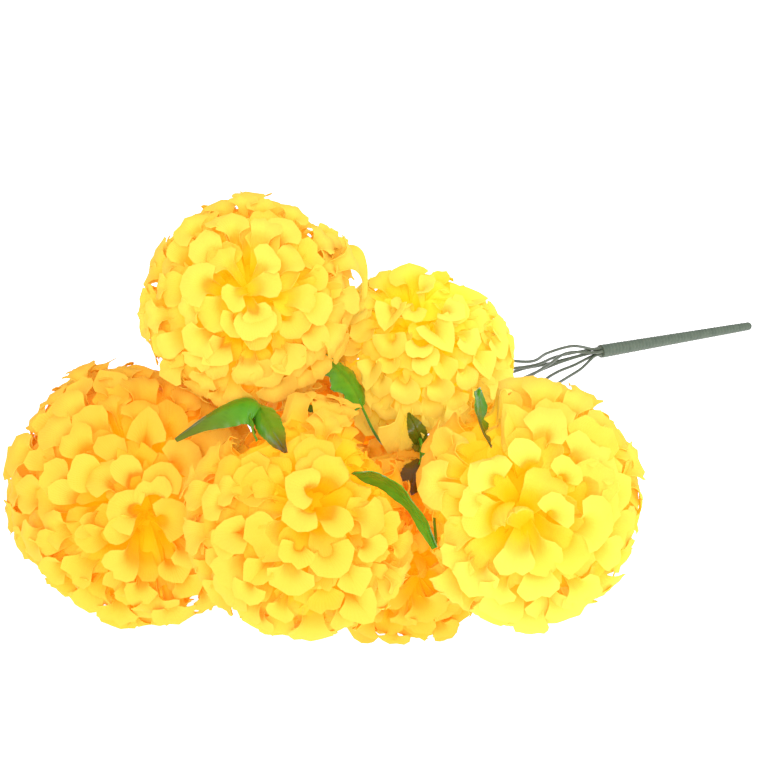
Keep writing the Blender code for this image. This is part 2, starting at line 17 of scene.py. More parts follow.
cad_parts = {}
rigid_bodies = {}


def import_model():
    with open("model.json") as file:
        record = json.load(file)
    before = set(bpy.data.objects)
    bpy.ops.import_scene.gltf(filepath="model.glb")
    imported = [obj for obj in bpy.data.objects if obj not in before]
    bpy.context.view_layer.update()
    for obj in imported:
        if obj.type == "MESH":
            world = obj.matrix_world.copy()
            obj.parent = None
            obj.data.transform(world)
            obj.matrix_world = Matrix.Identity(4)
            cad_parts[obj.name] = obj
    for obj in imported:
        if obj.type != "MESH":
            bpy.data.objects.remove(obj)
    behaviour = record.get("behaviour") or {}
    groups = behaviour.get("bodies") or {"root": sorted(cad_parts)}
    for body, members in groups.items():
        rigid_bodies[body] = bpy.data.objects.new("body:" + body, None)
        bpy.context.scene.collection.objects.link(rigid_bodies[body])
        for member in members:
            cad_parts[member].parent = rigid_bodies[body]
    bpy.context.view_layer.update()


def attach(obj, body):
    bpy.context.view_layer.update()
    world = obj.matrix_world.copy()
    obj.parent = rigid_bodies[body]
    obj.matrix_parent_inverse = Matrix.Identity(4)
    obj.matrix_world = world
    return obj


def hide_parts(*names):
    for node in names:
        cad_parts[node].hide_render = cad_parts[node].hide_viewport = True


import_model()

CM = 0.01
MM = 0.001
SEED = 11

# Middle of the bouquet's box from the foot, and the handle's two ends
BOX_MIDDLE = Vector((-13.02, -3.31, 0.0)) * CM
THICK_END = (0.0, 0.0, 2.7)
THIN_END = (13.7, -2.7, 0.2)
THICK_END_RADIUS = 4.3 * MM
THIN_END_RADIUS = 2.8 * MM

# Camera that sees the bouquet as photographed: its place in cm, the way it looks and its lens
CAMERA_PLACE = (-58.53, -43.91, 50.60)
CAMERA_WAY = Vector((0.5440, 0.6124, -0.5736))
LENS_MM = 61.58
SENSOR_MM = 36.0

# Heads: place of the ball's middle in cm, the way it faces (azimuth, elevation in degrees), radius in cm
HEADS = {
    "a": ((-26.0, 2.9, 15.7), (-122, 42), 5.6),
    "b": ((-32.7, 4.2, 5.8), (-116, 26), 7.1),
    "c": ((-30.6, -7.1, 10.5), (-115, 48), 5.7),
    "d": ((-16.9, -0.4, 10.4), (-180, 81), 5.3),
    "e": ((-22.4, -13.6, 11.1), (-142, 26), 5.8),
    "f": ((-23.8, -7.2, 4.4), (-132, 20), 5.1),
    "g": ((-20.1, 4.0, 4.1), (-170, 25), 4.6),
}

# How golden each head's cloth is, from lemon at 0 to orange at 1: partly its own dye, mostly painted shade
# for heads that lie further from the light or in the shadow of others. And the size of its petals
HEAD_GOLD_AND_SHADE = {"a": 0.44, "b": 0.80, "c": 0.78, "d": 0.00, "e": 0.38, "f": 1.00, "g": 1.00}
PETAL_SIZE = {"a": 0.90, "b": 0.84, "c": 0.92, "d": 0.92, "e": 0.99, "f": 1.0, "g": 1.0}

# Way of each wire from the back of its head to the handle, in cm
ROUTES = {
    "a": [(-22.4, 7.4, 11.4), (-15.5, 5.2, 9.0), (-8.4, 0.2, 5.6), (-5.5, 0.5, 4.7), (-3.3, 0.4, 4.0),
          (-2.2, 0.3, 4.1), (-1.0, 0.2, 3.6)],
    "b": [(-29.0, 10.2, 3.4), (-22.5, 10.2, 3.0), (-15.5, 6.6, 4.4), (-7.3, 1.1, 4.1), (-4.4, 1.0, 3.5),
          (-2.0, 0.8, 3.1)],
    "c": [(-26.5, -2.8, 6.6), (-22.0, -2.6, 6.0), (-16.0, -2.8, 4.8), (-10.4, -0.9, 5.0), (-7.0, -0.5, 4.4),
          (-3.7, 0.3, 3.8), (-2.1, 0.4, 3.5)],
    "d": [(-15.2, -0.3, 4.6), (-12.0, 0.0, 4.3), (-6.9, 0.3, 3.7), (-3.9, 0.5, 3.2), (-1.9, 0.3, 3.0)],
    "e": [(-17.0, -9.4, 8.0), (-12.0, -5.4, 6.0), (-6.1, -1.4, 3.5), (-3.2, -0.7, 2.8)],
    "f": [(-19.0, -3.4, 2.2), (-13.0, -2.4, 2.6), (-5.9, -0.3, 3.2), (-3.2, 0.1, 2.7)],
    "g": [(-13.8, 4.0, 2.4), (-6.6, 1.7, 3.2), (-3.9, 1.4, 2.7)],
}
BUNDLE_SIXTHS = {"a": 0, "c": 1, "e": 2, "f": 3, "g": 4, "b": 5}
WIRE_RADIUS = 1.0 * MM
WIRE_PITCH = 2.6 * MM
CUP_LENGTH = 20 * MM
CUP_NECK_RADIUS = 3.2 * MM
CUP_RADIUS = 15 * MM
WIRE_HOLE_DEPTH = 8 * MM
SEAT_SHARE = 0.50
GAP = 0.3 * MM

# Leaf sprays, each on one straight stretch of its wire. A leaf has the points of its stalk, the points
# of its blade, the width in cm, the curl of its section in degrees, its outline, and how brown it is
# and from where along it. The brown is real on some tips, and painted shade on leaves that lie in shadow
# between the heads.
SLEEVE_STRETCH = 1
SLEEVE_LENGTH = 10 * MM
SLEEVE_RADIUS = 2.4 * MM
STALK_RADIUS = 1.0 * MM
FRESH = (0.1, 0.4)
SPRAYS = {
    "a": [
        ([(-22.2, 8.6, 11.6)],
         [(-21.6, 10.0, 12.4), (-21.6, 11.6, 13.6), (-22.4, 12.6, 15.4)], 2.6, 50, "plain", FRESH),
        ([(-22.2, 9.0, 10.6)],
         [(-20.8, 9.8, 10.0), (-18.6, 10.6, 9.8), (-16.6, 10.6, 8.6)], 2.4, 40, "lobed", FRESH),
    ],
    "b": [
        ([(-29.4, 11.6, 3.8)],
         [(-28.8, 12.1, 4.2), (-27.4, 12.4, 4.4), (-25.6, 11.6, 5.0)], 2.4, 50, "plain", FRESH),
        ([(-30.8, 11.4, 2.6)],
         [(-31.6, 11.9, 2.5), (-33.4, 12.4, 2.4), (-35.2, 12.0, 2.8)], 2.4, 40, "plain", FRESH),
    ],
    "c": [
        ([(-28.1, -1.4, 8.2), (-28.2, -1.3, 10.8)],
         [(-29.2, -2.4, 13.2), (-29.0, -1.9, 15.2), (-33.1, -0.5, 12.6)], 3.4, 150, "plain", (0.7, 0.45)),
        ([(-28.0, -1.6, 8.4), (-28.2, -1.6, 11.2)],
         [(-29.1, -1.8, 13.4), (-30.7, -4.7, 14.9), (-31.9, -7.7, 15.4)], 1.5, 120, "plain", (1.0, 0.5)),
        ([(-28.4, -1.5, 8.6), (-28.6, -1.5, 11.2)],
         [(-29.5, -1.8, 13.2), (-30.5, -2.9, 13.5), (-31.3, -4.7, 14.0)], 1.0, 60, "plain", (0.0, 0.4)),
        # Painted shade: this leaf lies in shadow between the heads and is dark all along
        ([(-28.1, -1.5, 8.4), (-27.3, -1.8, 9.6)],
         [(-26.5, -2.3, 10.6), (-26.4, -2.9, 12.3), (-25.2, -2.4, 12.1)], 1.7, 50, "lobed", (0.6, -0.8)),
    ],
    "d": [
        ([(-18.5, -1.6, 5.7), (-21.6, -2.6, 7.6)],
         [(-23.0, -2.5, 10.7), (-22.9, -1.7, 12.3), (-23.7, 0.2, 12.9)], 3.4, 40, "lobed", FRESH),
        ([(-18.7, -1.9, 5.4), (-21.4, -5.2, 9.4), (-24.4, -9.2, 9.9)],
         [(-27.5, -12.8, 10.6), (-27.0, -9.9, 13.1), (-29.3, -9.2, 13.8)], 1.45, 60, "band", (0.1, -0.4)),
        # Painted shade: these three leaves fill shaded gaps between the heads and are dark brown all along
        ([(-18.7, -1.8, 5.8)],
         [(-21.2, -5.3, 8.8), (-22.1, -5.7, 10.6), (-21.3, -4.2, 10.4)], 1.0, 40, "plain", (0.75, -0.8)),
        ([(-18.7, -1.8, 5.8)],
         [(-21.4, -4.7, 8.7), (-22.1, -6.4, 10.4), (-21.1, -6.5, 8.9)], 1.1, 40, "plain", (0.75, -0.8)),
        ([(-18.7, -1.8, 5.8), (-21.0, -4.8, 8.8)],
         [(-22.7, -6.7, 9.5), (-24.3, -7.9, 9.9), (-24.8, -7.9, 9.0)], 1.5, 50, "plain", (1.0, -0.8)),
    ],
    "e": [
        ([(-18.6, -8.8, 9.6), (-20.2, -8.4, 12.6)],
         [(-21.8, -9.7, 15.0), (-23.5, -10.9, 14.8), (-24.8, -13.3, 15.3)], 1.3, 60, "plain", (0.8, 0.3)),
        ([(-16.2, -10.2, 8.0)],
         [(-16.2, -11.4, 7.4), (-16.4, -13.4, 6.6), (-17.6, -15.4, 6.2)], 2.2, 50, "lobed", FRESH),
    ],
}

# Places from which a head's petals are pushed aside, in cm
PUSHED = {
    "c": ((-25.4, -5.4, 10.8), (-26.7, -6.7, 11.8), (-27.9, -8.1, 12.8), (-29.7, -6.9, 16.2)),
    "d": ((-21.9, -0.7, 11.3),),
}

# Loose petals that stand out: where on the head (azimuth, elevation in degrees), how far out as a share
# of the radius, lean back in degrees, kind of petal, which one of that kind, and size
LOOSE_PETALS = {
    "a": ((-121, 28, 0.98, 10, "spoon", 1, 1.35), (-80, 4, 1.04, -14, "spoon", 3, 1.3),
          (-31, 35, 1.10, -10, "pleat", 1, 1.3), (-43, 27, 1.08, -10, "scoop", 3, 1.3),
          (-57, 12, 1.05, -10, "bowl", 1, 1.3)),
    "b": ((-71, 48, 1.03, -10, "spoon", 2, 1.45),),
    "c": ((21, 50, 1.02, -6, "bowl", 2, 1.5), (60, 62, 1.0, 0, "spoon", 4, 1.3)),
    "d": ((-141, -6, 1.30, -8, "fold", 2, 1.4), (-164, -24, 1.02, 6, "bowl", 4, 1.3)),
    "f": ((87, 57, 1.0, 0, "bowl", 3, 1.3), (109, 78, 1.0, 0, "spoon", 5, 1.3),
          (49, 56, 1.12, 5, "pleat", 0, 1.4)),
    "e": ((115, 74, 1.0, -12, "pleat", 0, 1.2), (100, 60, 1.0, -16, "pleat", 1, 1.2),
          (140, 66, 0.98, -10, "pleat", 2, 1.2)),
}


def row(point):
    """A point given in cm from the foot, in the frame's metres."""
    return Vector(point) * CM - BOX_MIDDLE


def aim(azimuth, elevation):
    """Unit vector from an azimuth and an elevation in degrees."""
    turn = math.radians(azimuth)
    rise = math.radians(elevation)
    return Vector((math.cos(rise) * math.cos(turn), math.cos(rise) * math.sin(turn), math.sin(rise)))


def middle_of(head):
    return row(HEADS[head][0])


def facing(head):
    return aim(*HEADS[head][1])


def radius_of(head):
    return HEADS[head][2] * CM


def seat_of(head):
    """Point on the head's axis where its cup sits."""
    return middle_of(head) - facing(head) * (SEAT_SHARE * radius_of(head))


def across(axis):
    """Two unit vectors square to an axis."""
    first = axis.cross(Vector((0, 0, 1)))
    if first.length < 0.2:
        first = axis.cross(Vector((0, 1, 0)))
    first.normalize()
    return first, first.cross(axis)


def bezier(points, t):
    """Point at t on the curve through the ends of three points, drawn by the middle one."""
    start, middle, end = points
    return start * (1 - t) ** 2 + middle * 2 * t * (1 - t) + end * t * t


CURVE_STEPS = 16


def smooth_path(points, count):
    """Points at even steps of a Catmull-Rom curve, whose first and last points only guide its ends."""
    fine = []
    for i in range(1, len(points) - 2):
        before, start, end, after = points[i - 1:i + 3]
        for step in range(CURVE_STEPS):
            t = step / CURVE_STEPS
            fine.append(0.5 * (2 * start + (end - before) * t
                               + (2 * before - 5 * start + 4 * end - after) * t * t
                               + (3 * start - before - 3 * end + after) * t ** 3))
    fine.append(points[-2])
    lengths = [0.0]
    for a, b in zip(fine, fine[1:]):
        lengths.append(lengths[-1] + (b - a).length)
    result = []
    k = 0
    for i in range(count):
        want = lengths[-1] * i / (count - 1)
        while k < len(fine) - 2 and lengths[k + 1] < want:
            k += 1
        share = (want - lengths[k]) / max(lengths[k + 1] - lengths[k], 1e-9)
        result.append(fine[k].lerp(fine[k + 1], min(share, 1.0)))
    return result


def smoothstep(x):
    x = np.clip(x, 0.0, 1.0)
    return x * x * (3 - 2 * x)


# Objects and meshes


def link(obj):
    bpy.context.scene.collection.objects.link(obj)
    return obj


def add_object(name, mesh):
    return link(bpy.data.objects.new(name, mesh))


def evaluated_mesh(obj):
    """A plain mesh of an object as its modifiers leave it."""
    graph = bpy.context.evaluated_depsgraph_get()
    return bpy.data.meshes.new_from_object(obj.evaluated_get(graph))


def apply_modifiers(obj):
    mesh = evaluated_mesh(obj)
    obj.modifiers.clear()
    obj.data = mesh
    return obj


def grid_mesh(name, places, values=None, closed=False):
    """Mesh of a grid of places (rows, columns, 3), with named values of each point stored on it."""
    rows, columns = places.shape[:2]
    faces = []
    for i in range(rows - 1):
        for j in range(columns if closed else columns - 1):
            here = i * columns + j
            right = i * columns + (j + 1) % columns
            faces.append((here, right, right + columns, here + columns))
    mesh = bpy.data.meshes.new(name)
    mesh.from_pydata(places.reshape(-1, 3).tolist(), [], faces)
    for key, amount in (values or {}).items():
        store(mesh, key, amount)
    return mesh


def store(mesh, name, values):
    """Stores a value for each point of a mesh, under a name."""
    layer = mesh.attributes.get(name) or mesh.attributes.new(name, "FLOAT", "POINT")
    layer.data.foreach_set("value", np.asarray(values, np.float32).ravel())


def points_of(mesh):
    """A mesh's points as rows of x, y and z."""
    points = np.zeros(len(mesh.vertices) * 3)
    mesh.vertices.foreach_get("co", points)
    return points.reshape(-1, 3)


# Points this near are one, and the angle from which an edge stays sharp on each kind of mesh, in degrees
SEAM = 0.005 * MM
SHARP = {"sheet": 50, "turned": 45, "tube": 50, "tape": 40}


def round_off(mesh, kind):
    """Smooth shading with the sharp edges of its kind of mesh."""
    mesh.shade_smooth()
    mesh.set_sharp_from_angle(angle=math.radians(SHARP[kind]))


def close_seams(mesh, kind):
    """Merges points that lie together, turns the faces outwards and rounds off the shading."""
    bm = bmesh.new()
    bm.from_mesh(mesh)
    bmesh.ops.remove_doubles(bm, verts=bm.verts, dist=SEAM)
    bmesh.ops.recalc_face_normals(bm, faces=bm.faces)
    bm.to_mesh(mesh)
    bm.free()
    round_off(mesh, kind)


def thicken(obj, thickness):
    """Gives a sheet its thickness and rounds its shading."""
    solid = obj.modifiers.new("thickness", "SOLIDIFY")
    solid.thickness = thickness
    solid.offset = 0
    apply_modifiers(obj)
    round_off(obj.data, "sheet")
    return obj


def dress(obj, node, material):
    """Finishes a piece that stands for a node of the frame."""
    obj.data.materials.clear()
    obj.data.materials.append(material)
    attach(obj, "root")
    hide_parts(node)
    return obj


def join(objects, name):
    """Joins objects into the first of them."""
    bpy.ops.object.select_all(action="DESELECT")
    for obj in objects:
        obj.select_set(True)
    bpy.context.view_layer.objects.active = objects[0]
    bpy.ops.object.join()
    objects[0].name = name
    return objects[0]


# Node trees


def feed(tree, socket, value):
    """Links an output into a socket, or sets the socket to a value."""
    if isinstance(value, bpy.types.NodeSocket):
        tree.links.new(value, socket)
    else:
        socket.default_value = value


def add_node(tree, kind, inputs=None, **settings):
    """A node with its settings and with values or links for its named inputs."""
    node = tree.nodes.new(kind)
    for key, value in settings.items():
        setattr(node, key, value)
    for key, value in (inputs or {}).items():
        feed(tree, next(s for s in node.inputs if s.enabled and s.name == key), value)
    return node


def output(node, name=None):
    """A node's output by name, or its first one."""
    return next(s for s in node.outputs if s.enabled and name in (None, s.name))


def maths(tree, kind, *values, clamp=False):
    """Output of a Math node over values or links."""
    node = add_node(tree, "ShaderNodeMath", operation=kind, use_clamp=clamp)
    for socket, value in zip(node.inputs, values):
        feed(tree, socket, value)
    return output(node)


def named_value(tree, label, kind="FLOAT"):
    """Output that reads a point's stored value in a Geometry Nodes tree."""
    return output(add_node(tree, "GeometryNodeInputNamedAttribute", {"Name": label}, data_type=kind))


def store_named(tree, geometry, label, value, domain):
    """Geometry with a value stored under a name."""
    return output(add_node(tree, "GeometryNodeStoreNamedAttribute", {
        "Geometry": geometry, "Name": label, "Value": value}, data_type="FLOAT", domain=domain))


def finish_tree(tree, geometry, material, result):
    """Ends a tree: real geometry, in its material."""
    real = add_node(tree, "GeometryNodeRealizeInstances", {"Geometry": geometry})
    painted = add_node(tree, "GeometryNodeSetMaterial", {"Geometry": output(real), "Material": material})
    tree.links.new(output(painted), result.inputs["Geometry"])
    return tree


def geometry_tree(name, sockets):
    """A Geometry Nodes tree with named inputs, what it is given by name, and its output node."""
    tree = bpy.data.node_groups.new(name, "GeometryNodeTree")
    tree.interface.new_socket(name="Geometry", in_out="OUTPUT", socket_type="NodeSocketGeometry")
    tree.interface.new_socket(name="Geometry", in_out="INPUT", socket_type="NodeSocketGeometry")
    for label, kind in sockets:
        tree.interface.new_socket(name=label, in_out="INPUT", socket_type="NodeSocket" + kind)
    return tree, tree.nodes.new("NodeGroupInput").outputs, tree.nodes.new("NodeGroupOutput")


def run_tree(obj, tree, values):
    """Runs a Geometry Nodes tree on an object with values for its named inputs, as a plain mesh."""
    modifier = obj.modifiers.new("nodes", "NODES")
    modifier.node_group = tree
    for item in tree.interface.items_tree:
        if item.in_out == "INPUT" and item.name in values:
            modifier[item.identifier] = values[item.name]
    return apply_modifiers(obj)


# Petal shapes. A petal is a strip that rises out of the head as a trough open towards the pit, and whose
# end flares away from the pit into a rounded collar. Sizes in mm on a head of this radius:
SHAPE_HEAD_RADIUS = 53.0
PETAL_LENGTH = 38.0
PETAL_ROWS = (0.0, 0.38, 0.62, 0.74, 0.83, 0.91, 0.96, 1.0)
PETAL_END = 0.60
PETAL_COLUMNS = 9

# What is drawn for each shape: how far its end leans to a side and how deep it is notched, as shares of
# the end, its ripple in mm and where that starts in radians, and how much further its section turns at
# the end
SKEW = 0.22
NOTCHES = (0.0, 0.06, 0.14, 0.22)
RIPPLE = (0.4, 1.1)
PHASE = (0, 6.28)
CURL = (-0.10, 0.15)

# Along a petal: half width of its notch, backward lean of its strip in degrees, share of its end over
# which a lipped or a plain end flares, where its lip starts, and points of its side line
NOTCH_WIDTH = 0.2
STRIP_LEAN = 4
FLARE_OVER = {"lipped": 0.5, "plain": 0.9}
LIPPED_FROM = 40
LIP_FROM = 0.40
LINE_POINTS = 200

# Across a petal: radius and turn of its foot as shares of the full ones, its origin's depth as a share
# of the trough, the ripple's turns in radians from the middle to a side, and the shares of the ripple
# that go outwards and along
FOOT_RADIUS = 0.30
FOOT_TURN = 0.45
ORIGIN_DEPTH = 0.7
RIPPLE_TURNS = 9.734
RIPPLE_OUT = 0.3
RIPPLE_ALONG = 0.6

# Kinds of petal: how many shapes of it are made, half turn of its section in degrees, radius of its
# trough in mm, length of its end in mm, flare of its end and upward turn of its lip in degrees, crease
# along its middle, and how round its end is, from 0 for square corners to 1 for a half circle
KINDS = {
    "scoop": (10, (84, 116), (2.0, 3.2), (10.5, 12.5), (80, 112), (0, 0), (0.0, 0.5), (0.30, 0.75)),
    "bowl": (6, (70, 92), (3.0, 4.2), (11.5, 13.5), (85, 105), (35, 75), (0.0, 0.3), (0.55, 0.95)),
    "spoon": (6, (48, 64), (5.0, 6.5), (13.0, 15.5), (80, 110), (0, 0), (0.0, 0.2), (0.80, 1.0)),
    "fold": (5, (72, 95), (2.4, 3.4), (11.0, 13.5), (65, 95), (0, 30), (0.8, 1.4), (0.20, 0.55)),
    "hood": (3, (55, 75), (5.5, 7.0), (12.0, 15.0), (-55, -25), (0, 0), (0.0, 0.1), (0.80, 1.0)),
    "tile": (6, (62, 84), (3.4, 4.8), (12.0, 14.5), (98, 112), (0, 12), (0.0, 0.2), (0.75, 1.0)),
    "pleat": (3, (30, 45), (7.0, 9.0), (15.0, 19.0), (20, 55), (0, 20), (0.0, 0.4), (0.60, 0.90)),
}


def side_line(trough, tail, end, flare, lip):
    """A petal seen from its side: lengths along it, and its distance from its axis and height there."""
    line = np.linspace(0, PETAL_LENGTH * 1.3, LINE_POINTS)
    share = (line - tail) / end
    spread = FLARE_OVER["lipped" if lip > LIPPED_FROM else "plain"]
    way = (math.radians(flare) * smoothstep(share / spread) - math.radians(STRIP_LEAN)
           - math.radians(lip) * smoothstep((share - LIP_FROM) / (1 - LIP_FROM)))
    way = np.where(line > tail, way, 0)
    step = line[1] - line[0]
    opened = trough * (FOOT_RADIUS + (1 - FOOT_RADIUS) * smoothstep(line / tail))
    return line, opened + np.cumsum(np.sin(way)) * step, np.cumsum(np.cos(way)) * step


def petal_shape(name, half_turn, trough, end, flare, lip, crease, roundness, draw):
    """One petal sheet, in metres: Z out of the head, Y away from the pit, with its tip near the origin."""
    t, s = np.meshgrid(np.array(PETAL_ROWS), np.linspace(-1, 1, PETAL_COLUMNS), indexing="ij")
    skew = draw.uniform(-SKEW, SKEW)
    notch = draw.choice(NOTCHES)
    ripple = draw.uniform(*RIPPLE)
    phase = draw.uniform(*PHASE)
    curl = draw.uniform(*CURL)

    # Flat outline: length along the cloth, and place across it
    tail = PETAL_LENGTH - end
    inner = np.clip(t / PETAL_END, 0, 1)
    outer = np.clip((t - PETAL_END) / (1 - PETAL_END), 0, 1)
    reach = 1 - notch * np.exp(-(s / NOTCH_WIDTH) ** 2) + skew * s * (1 - 0.6 * s * s)
    side = s * (1 - roundness * (1 - np.sqrt(1 - outer ** 2 / 2)))
    y = tail * inner + end * outer * reach * (1 - roundness * (1 - np.sqrt(1 - s ** 2 / 2)))

    # The cloth as it is pressed
    line, radii, heights = side_line(trough, tail, end, flare, lip)
    radius = np.interp(y, line, radii)
    turn = np.radians(half_turn) * (FOOT_TURN + (1 - FOOT_TURN) * smoothstep(inner)) * (1 + curl * outer)
    angle = turn * side
    keel = 1 + crease * (1 - np.abs(side)) ** 2 * smoothstep(inner) * (1 - 0.3 * outer)
    wave = ripple * outer * np.sin(RIPPLE_TURNS * s + phase)
    x = (radius + RIPPLE_OUT * wave) * np.sin(angle)
    out = (radius * keel + RIPPLE_OUT * wave) * np.cos(angle) - trough * ORIGIN_DEPTH
    z = np.interp(y, line, heights) - np.interp(PETAL_LENGTH, line, heights) + RIPPLE_ALONG * wave
    mesh = grid_mesh(name, np.stack([x, out, z], axis=-1) * MM)

    # The weave follows the flat cloth, in mm
    cloth = mesh.uv_layers.new(name="cloth")
    flat = np.stack([(s * np.radians(half_turn) * trough).ravel(), y.ravel()], axis=1)
    corners = np.zeros(len(mesh.loops), np.int32)
    mesh.loops.foreach_get("vertex_index", corners)
    cloth.data.foreach_set("uv", flat[corners].ravel())
    return mesh


def petal_shapes():
    """The collection of petal shapes, and the numbers of the shapes of each kind in it."""
    draw = random.Random(SEED)
    shapes = bpy.data.collections.new("petal_shapes")
    bpy.context.scene.collection.children.link(shapes)
    numbers = {}
    for kind, (count, *ranges) in KINDS.items():
        for _ in range(count):
            number = len(shapes.objects)
            sizes = [draw.uniform(low, high) for low, high in ranges]
            name = f"petal_shape_{number:02d}_{kind}"
            shapes.objects.link(bpy.data.objects.new(name, petal_shape(name, *sizes, draw)))
            numbers.setdefault(kind, []).append(number)
    return shapes, numbers


def petal_tree():
    """Sets a petal shape on each point, turned and scaled by the point's own values and a seeded draw."""
    tree, given, result = geometry_tree("petals of a head", (
        ("Petal shapes", "Collection"), ("Petal cloth", "Material"), ("Size", "Float"),
        ("Size spread", "Float"), ("Roll", "Float"), ("Seed", "Int")))
    shapes = add_node(tree, "GeometryNodeCollectionInfo", {
        "Collection": given["Petal shapes"], "Separate Children": True, "Reset Children": True})

    def drawn(low, high, seed):
        picked = add_node(tree, "FunctionNodeRandomValue",
                          {"Min": low, "Max": high, "Seed": seed}, data_type="FLOAT")
        return output(picked, "Value")

    seed = given["Seed"]
    smaller = maths(tree, "SUBTRACT", 1.0, given["Size spread"])
    larger = maths(tree, "ADD", 1.0, given["Size spread"])
    size = maths(tree, "MULTIPLY", named_value(tree, "size"), given["Size"])
    size = maths(tree, "MULTIPLY", size, drawn(smaller, larger, seed))
    euler = named_value(tree, "turn", "FLOAT_VECTOR")
    turn = add_node(tree, "FunctionNodeEulerToRotation", {"Euler": euler})
    scatter = add_node(tree, "GeometryNodeInstanceOnPoints", {
        "Points": given["Geometry"], "Instance": output(shapes), "Pick Instance": True,
        "Instance Index": named_value(tree, "pick", "INT"), "Rotation": output(turn), "Scale": size})
    roll_low = maths(tree, "MULTIPLY", given["Roll"], -1.0)
    roll = drawn(roll_low, given["Roll"], maths(tree, "ADD", seed, 1.0))
    roll_turn = add_node(tree, "FunctionNodeAxisAngleToRotation", {"Axis": (0, 0, 1), "Angle": roll})
    rolled = add_node(tree, "GeometryNodeRotateInstances", {
        "Instances": output(scatter), "Rotation": output(roll_turn), "Local Space": True})
    tone = drawn(0.0, 1.0, maths(tree, "ADD", seed, 2.0))
    toned = store_named(tree, output(rolled), "tone", tone, "INSTANCE")
    return finish_tree(tree, toned, given["Petal cloth"], result)


# Layers of petal rings from the pit outwards: angle of the first ring from the way the head faces and
# the pitch of the rings in degrees, spacing along a ring, how far out the petals end as shares of the
# radius, and how often each kind of petal comes in the layer
LAST_RING = 150
LAYERS = (
    (13.0, 14.6, 15.8, (0.93, 1.01), {"scoop": 7, "bowl": 3, "spoon": 3, "fold": 2, "pleat": 0.5}),
    (20.0, 16.5, 16.0, (0.80, 0.89), {"spoon": 6, "bowl": 2, "fold": 1}),
)
PIT_KINDS = {"scoop": 3, "spoon": 3, "hood": 1}
PIT_ANGLE = 14
SIDE_KINDS = {"tile": 3, "scoop": 4, "bowl": 2, "fold": 1}
SIDE_ANGLE = 58
LEAN = (-22, 16)
SIDE_LEAN = (-8, 8)

# How unevenly the petals of a ring stand: off their ring in degrees, off their place as a share of the
# space between two, the sizes that are drawn for them, and the tree's own spread of size and roll
OFF_RING = 6
OFF_PLACE = 0.28
DRAWN_SIZES = (0.96, 1.20)
SIZE_SPREAD = 0.05
ROLL = 0.5

# Sides where a head bulges or is pressed in: azimuth, elevation, reach there as a share of the usual one
SWELLS = {
    "a": ((128, 29, 0.93), (-35, 20, 0.97), (48, 64, 1.02), (161, -17, 1.02)),
    "b": ((122, 36, 1.06), (150, 0, 0.96), (-153, -44, 0.95)),
    "c": ((-132, -46, 0.98), (175, -29, 0.99)),
    "d": ((-25, 35, 0.87), (30, 60, 0.92), (-52, -5, 1.10)),
    "e": ((-35, 20, 0.95), (-62, -13, 0.94), (-150, -45, 1.03)),
    "f": ((-93, -38, 0.90),),
}
SWELL_FROM = 0.45


def swell(head, normal):
    """Reach towards a side of a head, as a share of the usual reach."""
    share = 1.0
    for azimuth, elevation, there in SWELLS.get(head, ()):
        near = (normal.dot(aim(azimuth, elevation)) - SWELL_FROM) / (1 - SWELL_FROM)
        share += (there - 1) * float(smoothstep(near))
    return share


def rings(size):
    """Angle and petal count of each ring for a size of petal, with the reach and kinds of its layer."""
    for first, pitch, spacing, reach, kinds in LAYERS:
        angle = first
        while angle < LAST_RING:
            around = 2 * math.pi * SHAPE_HEAD_RADIUS * math.sin(math.radians(angle))
            picked = PIT_KINDS if angle < PIT_ANGLE else SIDE_KINDS if angle > SIDE_ANGLE else kinds
            yield angle, max(4, round(around / spacing / size)), reach, picked
            angle += pitch * size


def stood(normal, away, lean):
    """Turn of a petal that stands along a normal with its collar away from the pit, leaned in degrees."""
    lean = math.radians(lean)
    up = normal * math.cos(lean) - away * math.sin(lean)
    away = away * math.cos(lean) + normal * math.sin(lean)
    return Matrix((away.cross(up), away, up)).transposed().to_euler()[:]


def petal_points(head, numbers):
    """Mesh whose points say where a head's petals are, how they turn and which shape each has."""
    draw = random.Random(SEED * 100 + ord(head))
    axis = facing(head)
    side_a, side_b = across(axis)
    radius = radius_of(head)
    places, turns, picks, sizes = [], [], [], []
    for angle, count, reach, kinds in rings(PETAL_SIZE[head]):
        first = draw.uniform(0, 2 * math.pi)
        for i in range(count):
            bend = math.radians(angle + draw.uniform(-OFF_RING, OFF_RING))
            turn = first + 2 * math.pi * (i + draw.uniform(-OFF_PLACE, OFF_PLACE)) / count
            outward = side_a * math.cos(turn) + side_b * math.sin(turn)
            normal = axis * math.cos(bend) + outward * math.sin(bend)
            away = outward * math.cos(bend) - axis * math.sin(bend)
            turned = stood(normal, away, draw.uniform(*(SIDE_LEAN if angle > SIDE_ANGLE else LEAN)))
            kind = draw.choices(list(kinds), list(kinds.values()))[0]
            place = np.array([normal * (radius * draw.uniform(*reach) * swell(head, normal))])
            places.append(middle_of(head) + Vector(make_room(place, head, LEAF_ROOM, softly=True)[0]))
            turns.append(turned)
            picks.append(draw.choice(numbers[kind]))
            sizes.append(draw.uniform(*DRAWN_SIZES) * PETAL_SIZE[head])
    for azimuth, elevation, reach, lean, kind, number, size in LOOSE_PETALS.get(head, ()):
        normal = aim(azimuth, elevation)
        bend = normal.angle(axis)
        away = (normal * math.cos(bend) - axis) / math.sin(bend)
        places.append(middle_of(head) + normal * (radius * reach))
        turns.append(stood(normal, away, lean))
        picks.append(numbers[kind][number])
        sizes.append(size * PETAL_SIZE[head])
    mesh = bpy.data.meshes.new("petal_points_" + head)
    mesh.from_pydata([p[:] for p in places], [], [])
    for name, kind, key, data in (("turn", "FLOAT_VECTOR", "vector", np.array(turns)),
                                  ("pick", "INT", "value", np.array(picks)),
                                  ("size", "FLOAT", "value", np.array(sizes))):
        layer = mesh.attributes.new(name, kind, "POINT")
        layer.data.foreach_set(key, data.ravel())
    return mesh


